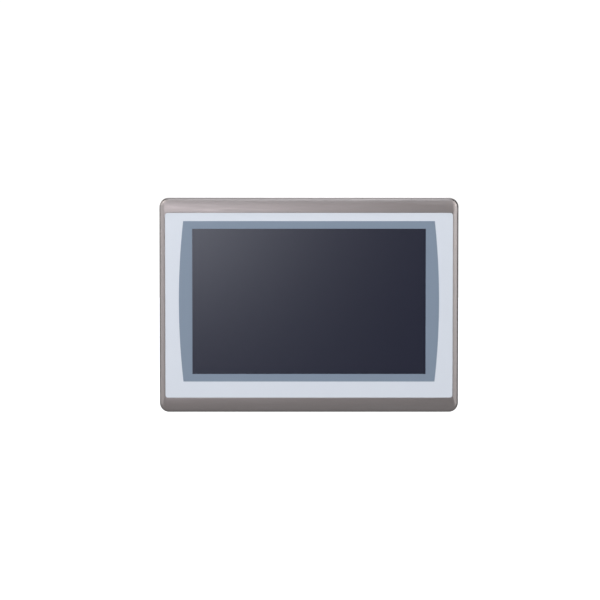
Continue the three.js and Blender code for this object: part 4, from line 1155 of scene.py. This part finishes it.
def make_label():
    """A blank label with one thin line round it."""
    low, high = place_of("rating_label")
    label = rounded_block("blank_rating_label", low, high, 2.5, "Y", 6)
    paint(label, LABEL, LABEL_INK)
    open_up(label)
    choose("FACE", lambda face: face.normal.y > 0.9)
    bpy.ops.mesh.inset(thickness=LABEL_MARGIN * MM)
    bpy.ops.mesh.inset(thickness=LABEL_LINE * MM)
    put_down()
    centre, half = (low + high) / 2, (high - low) / 2

    def beyond_margin(point):
        """How far a point lies outside the margin; inside it, the distance is negative."""
        x, z = abs(point.co.x / MM - centre.x), abs(point.co.z / MM - centre.z)
        return max(x - half.x, z - half.z) + LABEL_MARGIN

    def in_line(face):
        in_ring = all(-0.9 < beyond_margin(point) < 0.01 for point in face.verts)
        return in_ring and face.normal.y > 0.9 and len(face.verts) == 4

    paint_faces(label, 1, in_line)
    return place_on(close_up(label), "terminal_body", "label_film", "rating_label")


make_cover()
make_port_plate()
make_label()

# ------------------------------------------------------------------ sockets, each about its own mouth

POLES = (-5.08, 0, 5.08)  # the pitch of the power connector


def socket_at(piece, node):
    """Moves a sample socket so that its mouth's middle is where the node's is."""
    near, far = place_of(node)
    return twin(piece, f"{node}_shell", ((near.x + far.x) / 2, near.y, near.z))


def ethernet_sample():
    """A shielded jack with its latch notch, eight contacts and two lamps."""
    middle_y = 7.3
    shell = softened(block("shell", (-8, 0, 0), (8, 13.4, 21)), 0.5)
    carve(shell, [
        block("hollow", (-5.95, middle_y - 3.4, -1), (5.95, middle_y + 3.4, 13)),
        block("latch", (-3.2, 1.9, -1), (3.2, middle_y, 9)),
        block("keeper", (-2, 1, -1), (2, middle_y, 6)),
    ])
    paint(shell, STEEL, BLACK_PLASTIC)

    def in_mouth(face):
        spot = middle(face)
        return abs(spot.x) < 6 and 0.95 < spot.y < 10.8 and 0.1 < spot.z < 13.1

    paint_faces(shell, 1, in_mouth)
    lamps = [
        paint(block("lamp", (x - 1.3, 11.3, 0.15), (x + 1.3, 12.7, 2)), LIGHT_PIPE) for x in (-6.2, 6.2)
    ]
    wires = [
        paint(
            block("contact", (-3.75 + 1.02 * i, middle_y + 1.4, 3), (-3.35 + 1.02 * i, middle_y + 3.3, 11)), GOLD
        )
        for i in range(8)
    ]
    return fuse([shell, *wires, *lamps], "socket")


def usb_host_sample():
    """A flat metal mouth with a black tongue and four contacts."""
    middle_y = 3.3
    shell = softened(block("shell", (-6.6, 0, 0), (6.6, 6.6, 14)), 0.4)
    carve(shell, [block("hollow", (-6.25, middle_y - 2.55, -1), (6.25, middle_y + 2.55, 11))])
    tongue = softened(block("tongue", (-5.6, middle_y - 2, 1), (5.6, middle_y - 0.2, 11.5)), 0.2)
    contacts = [
        paint(
            block("contact", (-4 + 2.3 * i, middle_y - 0.25, 1.6), (-2.9 + 2.3 * i, middle_y - 0.1, 10)), GOLD
        )
        for i in range(4)
    ]
    return fuse([paint(shell, STEEL), paint(tongue, BLACK_PLASTIC), *contacts], "socket")


def usb_device_sample():
    """A square metal mouth with two slanted corners, a white tongue and four contacts."""
    middle_y = 5.4
    shell = softened(block("shell", (-6, 0, 0), (6, 10.8, 16)), 0.4)
    mouth = block("mouth", (-4.2, middle_y - 3.9, -1), (4.2, middle_y + 3.9, 11.5))
    open_up(mouth)
    choose("EDGE", lambda edge: runs_along(edge, "Z") and middle(edge).y > middle_y)
    round_off(1.6, 1)
    put_down()
    carve(shell, [mouth])
    tongue = softened(block("tongue", (-2.8, middle_y - 1.6, 1), (2.8, middle_y + 1.6, 12)), 0.25)
    contacts = [
        paint(block("contact", (x - 0.6, middle_y + y - 0.08, 1.6), (x + 0.6, middle_y + y + 0.08, 9)), GOLD)
        for x in (-1.25, 1.25) for y in (-1.6, 1.6)
    ]
    return fuse([paint(shell, STEEL), paint(tongue, WHITE_PLASTIC), *contacts], "socket")


def header_sample():
    """The three-pin header that the terminal block plugs on to."""
    middle_y = 5.8
    shell = softened(block("shell", (-9.7, 0, 0), (9.7, 11.6, 12.4)), 0.4)
    carve(shell, [block("hollow", (-8.3, middle_y - 4.4, -1), (8.3, middle_y + 4.4, 10.4))])
    pins = [
        softened(block("pin", (x - 0.5, middle_y - 0.5, 2), (x + 0.5, middle_y + 0.5, 11)), 0.15)
        for x in POLES
    ]
    return fuse([paint(shell, TERMINAL_PLASTIC), *(paint(pin, STEEL) for pin in pins)], "socket")


def make_sockets():
    """Each kind of socket once, and a copy of it for each node."""
    kinds = (
        (ethernet_sample, ("ethernet_port_1", "ethernet_port_2"), "tinned_steel"),
        (usb_host_sample, ("usb_host_port_1", "usb_host_port_2"), "tinned_steel"),
        (usb_device_sample, ("usb_device_port",), "tinned_steel"),
        (header_sample, ("power_header",), "terminal_green"),
    )
    for make, nodes, slot in kinds:
        sample = make()
        for node in nodes:
            place_on(close_up(socket_at(sample, node)), "terminal_body", slot, node)
        bpy.data.objects.remove(sample)


def make_terminal():
    """The removable terminal block: its nose, contacts, wire ways, screw ways and grip lines."""
    low, high = place_of("power_terminal")
    x, mouth_z = (low.x + high.x) / 2, place_of("power_header")[0].z
    body = softened(block("terminal_block", low, (high.x, high.y, mouth_z - 0.4)), 0.45)
    nose = block("nose", (x - 7.9, PART_Y + 1.8, mouth_z - 0.9), (x + 7.9, PART_Y + 9.8, mouth_z + 9.6))
    carve(body, [nose], "UNION")
    cutters = []
    for pole in (x + offset for offset in POLES):
        cutters += [
            block(
                "contact", (pole - 0.9, PART_Y + 4.9, mouth_z + 1.2), (pole + 0.9, PART_Y + 6.7, mouth_z + 10.5)
            ),
            rounded_block(
                "wire_way", (pole - 1.9, PART_Y + 3.2, low.z - 1), (pole + 1.9, PART_Y + 7.4, mouth_z - 5),
                1.2, "Z", 4,
            ),
            rod("screw_way", (pole, PART_Y + 10.1, mouth_z - 7.2), 2.1, 7),
            block("crease", (pole + 2.44, high.y - 0.5, low.z - 1), (pole + 2.64, high.y + 1, mouth_z)),
        ]
    for grip_x in (x - 9.2, x + 9.2):
        for grip_z in (mouth_z - 11, mouth_z - 12.6):
            near, far = (grip_x - 0.5, PART_Y - 1, grip_z), (grip_x + 0.5, PART_Y + 14, grip_z + 0.8)
            cutters.append(block("grip", near, far))
    carve(body, cutters)
    paint(body, TERMINAL_PLASTIC)
    return place_on(close_up(body), "power_block", "terminal_green", "power_terminal")


def make_clamp_screws():
    """The terminal block's three slotted screws, each on its own body."""
    for number in (1, 2, 3):
        near, far = place_of(f"terminal_screw_{number}")
        centre = (near + far) / 2
        screw = round_rim(rod(f"clamp_{number}", centre, 1.85, far.y - near.y), far.y, 0.35, 3)
        reach = Vector((3, 1, 0.35))
        top = Vector((centre.x, far.y, centre.z))
        carve(screw, [block("slit", top - reach, top + reach)])
        close_up(paint(screw, STEEL))
        place_on(screw, f"clamp_screw_{number}", "tinned_steel", f"terminal_screw_{number}")


make_sockets()
make_terminal()
make_clamp_screws()

# ------------------------------------------------------------------ card, board, lights and reset


def make_card():
    """The memory card, with thumb ridges and a plain sticker."""
    card = paint(softened(cast_from("sd_card", "memory_card"), 0.3), CARD_PLASTIC)
    low, high = place_of("sd_card")
    ridges = [
        paint(block("ridge", (x, high.y - 0.1, low.z + 4), (x + 0.4, high.y + 0.25, high.z - 4)), CARD_PLASTIC)
        for x in (high.x - 3.4 + 0.9 * i for i in range(3))
    ]
    sticker = rounded_block(
        "sticker", (low.x + 8, high.y, low.z + 2.5), (high.x - 5, high.y + 0.1, high.z - 2.5), 1, "Y", 4
    )
    fuse([card, *ridges, paint(sticker, LABEL)], "memory_card")
    return place_on(close_up(card), "memory_card", "card_blue", "sd_card")


def make_board():
    """The circuit board, the parts that stand on it in chip plastic."""
    board = cast_from("main_board", "board_with_parts")
    paint(board, BOARD, CHIP_PLASTIC)
    paint_faces(board, 1, lambda face: middle(face).y > PART_Y)
    return place_on(close_up(board), "terminal_body", "circuit_board", "main_board")


def make_lights():
    """Two clear light pipes with domed ends."""
    for number in (1, 2):
        low, high = place_of(f"status_light_{number}")
        pipe = round_rim(rod(f"light_pipe_{number}", (low + high) / 2, 1.5, high.y - low.y), high.y, 0.5, 4)
        place_on(close_up(paint(pipe, LIGHT_PIPE)), "terminal_body", "light_pipe", f"status_light_{number}")


def make_reset():
    """The reset button's plunger, flanged where the cover holds it."""
    low, high = place_of("reset_button")
    centre = (low + high) / 2
    plunger = rod("reset_plunger", (centre.x, low.y + 0.75, centre.z), 2.7, 1.5)
    stem = rod("stem", (centre.x, centre.y + 0.5, centre.z), 1.7, high.y - low.y - 1)
    carve(plunger, [round_rim(stem, high.y, 0.45, 4)], "UNION")
    return place_on(close_up(paint(plunger, WHITE_PLASTIC)), "reset_plunger", "button_white", "reset_button")


make_card()
make_board()
make_lights()
make_reset()

# ------------------------------------------------------------------ everything that keeps its own shape

CARRIED = {
    "touch_sensor": SCREEN_DARK, "touch_tail": FLEX, "display_gasket": FOAM, "lcd_frame": STEEL,
    "lcd_cell": SCREEN_DARK, "backlight_unit": WHITE_PLASTIC, "display_cable": CABLE, "board_tray": ZINC,
    "heatsink": ALUMINIUM, "transformer": BLACK_PLASTIC,
    "capacitor_1": BLACK_PLASTIC, "capacitor_2": BLACK_PLASTIC,
    "sd_socket": STEEL, "battery_holder": BLACK_PLASTIC, "coin_cell": STEEL, "reset_switch": BLACK_PLASTIC,
}
for node, material in CARRIED.items():
    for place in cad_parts[node].material_slots:
        place.material = material

# ------------------------------------------------------------------ studio

scene = bpy.context.scene
scene.view_settings.view_transform = "Standard"

CAMERA_DISTANCE = 2000
CAMERA_LIFT = math.radians(2)
FRAME_WIDTH = 682.3  # millimetres across the view at the bezel
AIM = Vector((-10.2, -5, 5.8))


def add_camera():
    data = bpy.data.cameras.new("camera")
    camera = bpy.data.objects.new("camera", data)
    scene.collection.objects.link(camera)
    scene.camera = camera
    data.lens = data.sensor_width * CAMERA_DISTANCE / FRAME_WIDTH
    back = Vector((0, -math.cos(CAMERA_LIFT), math.sin(CAMERA_LIFT)))
    camera.location = (AIM + back * CAMERA_DISTANCE) * MM
    camera.rotation_euler = (-back).to_track_quat("-Z", "Y").to_euler()
    data.clip_start, data.clip_end = 0.05, 60


def around(azimuth, elevation, distance):
    """A spot round the object: 0 degrees is in front of it and 90 at its right."""
    turn, lift = math.radians(azimuth), math.radians(elevation)
    level = math.cos(lift)
    return Vector((math.sin(turn) * level, -math.cos(turn) * level, math.sin(lift))) * distance


def soft_light(name, spot, size, power, colour=(1, 1, 1)):
    """A square soft box that faces the object."""
    data = bpy.data.lights.new(name, "AREA")
    data.shape, data.size = "SQUARE", size
    data.energy, data.color = power, colour
    light = bpy.data.objects.new(name, data)
    scene.collection.objects.link(light)
    light.location = spot
    light.rotation_euler = (-spot).to_track_quat("-Z", "Y").to_euler()
    light.visible_camera = False


FLOOR_Z = -0.46


def add_floor():
    """A pale floor that reads as white paper to the camera."""
    put_down()
    bpy.ops.mesh.primitive_circle_add(vertices=96, radius=14, fill_type="NGON", location=(0, 0, FLOOR_Z))
    floor = settle(bpy.context.object, "floor")
    look = Finish("pale_floor", (0.38, 0.38, 0.38), 0.6)
    look.set(Emission_Color=(1, 1, 1, 1))
    look.wire(look.add("ShaderNodeLightPath").outputs["Is Camera Ray"], look.shader.inputs["Emission Strength"])
    paint(floor, look.done())


def add_sky():
    """White to look at; to light the object it is dim in front of it and bright behind it."""
    world = bpy.data.worlds.new("studio")
    scene.world = world
    world.use_nodes = True
    nodes, links = world.node_tree.nodes, world.node_tree.links
    shown = nodes["Background"]
    shown.inputs["Color"].default_value = (1, 1, 1, 1)
    shown.inputs["Strength"].default_value = 1.05
    lit = nodes.new("ShaderNodeBackground")
    lit.inputs["Color"].default_value = (0.88, 0.94, 1.0, 1)
    way, split = nodes.new("ShaderNodeTexCoord"), nodes.new("ShaderNodeSeparateXYZ")
    links.new(way.outputs["Generated"], split.inputs[0])
    ramp = nodes.new("ShaderNodeMapRange")
    links.new(split.outputs["Y"], ramp.inputs["Value"])
    for label, number in (("From Min", -0.1), ("From Max", 0.5), ("To Min", 0.02), ("To Max", 0.9)):
        ramp.inputs[label].default_value = number
    links.new(ramp.outputs["Result"], lit.inputs["Strength"])
    path, mix = nodes.new("ShaderNodeLightPath"), nodes.new("ShaderNodeMixShader")
    links.new(path.outputs["Is Camera Ray"], mix.inputs[0])
    links.new(lit.outputs[0], mix.inputs[1])
    links.new(shown.outputs[0], mix.inputs[2])
    links.new(mix.outputs[0], nodes["World Output"].inputs["Surface"])


add_camera()
add_floor()
add_sky()
soft_light("patch_near_camera", around(-12, 8, 2.6), 0.75, 12, (0.88, 0.91, 1.0))
soft_light("patch_above_camera", around(-2, 8, 2.6), 0.75, 1.1)
soft_light("front_left", around(-38, 30, 2.6), 0.75, 18, (0.97, 0.98, 1.0))
soft_light("front_right", around(35, 20, 2.6), 1.0, 13.5, (0.97, 0.98, 1.0))
soft_light("overhead", around(0, 90, 2.2), 2.0, 16, (0.86, 0.93, 1.0))
soft_light("above_front", around(0, 45, 2.5), 1.2, 18, (0.84, 0.92, 1.0))
soft_light("side_right", around(50, 4, 2.6), 1.6, 19, (0.88, 0.94, 1.0))
soft_light("side_left", around(-56, 4, 2.6), 1.8, 23, (0.88, 0.94, 1.0))
soft_light("behind_right", around(165, 30, 2.6), 1.6, 26)
soft_light("behind_left", around(-130, 20, 2.8), 1.4, 22)
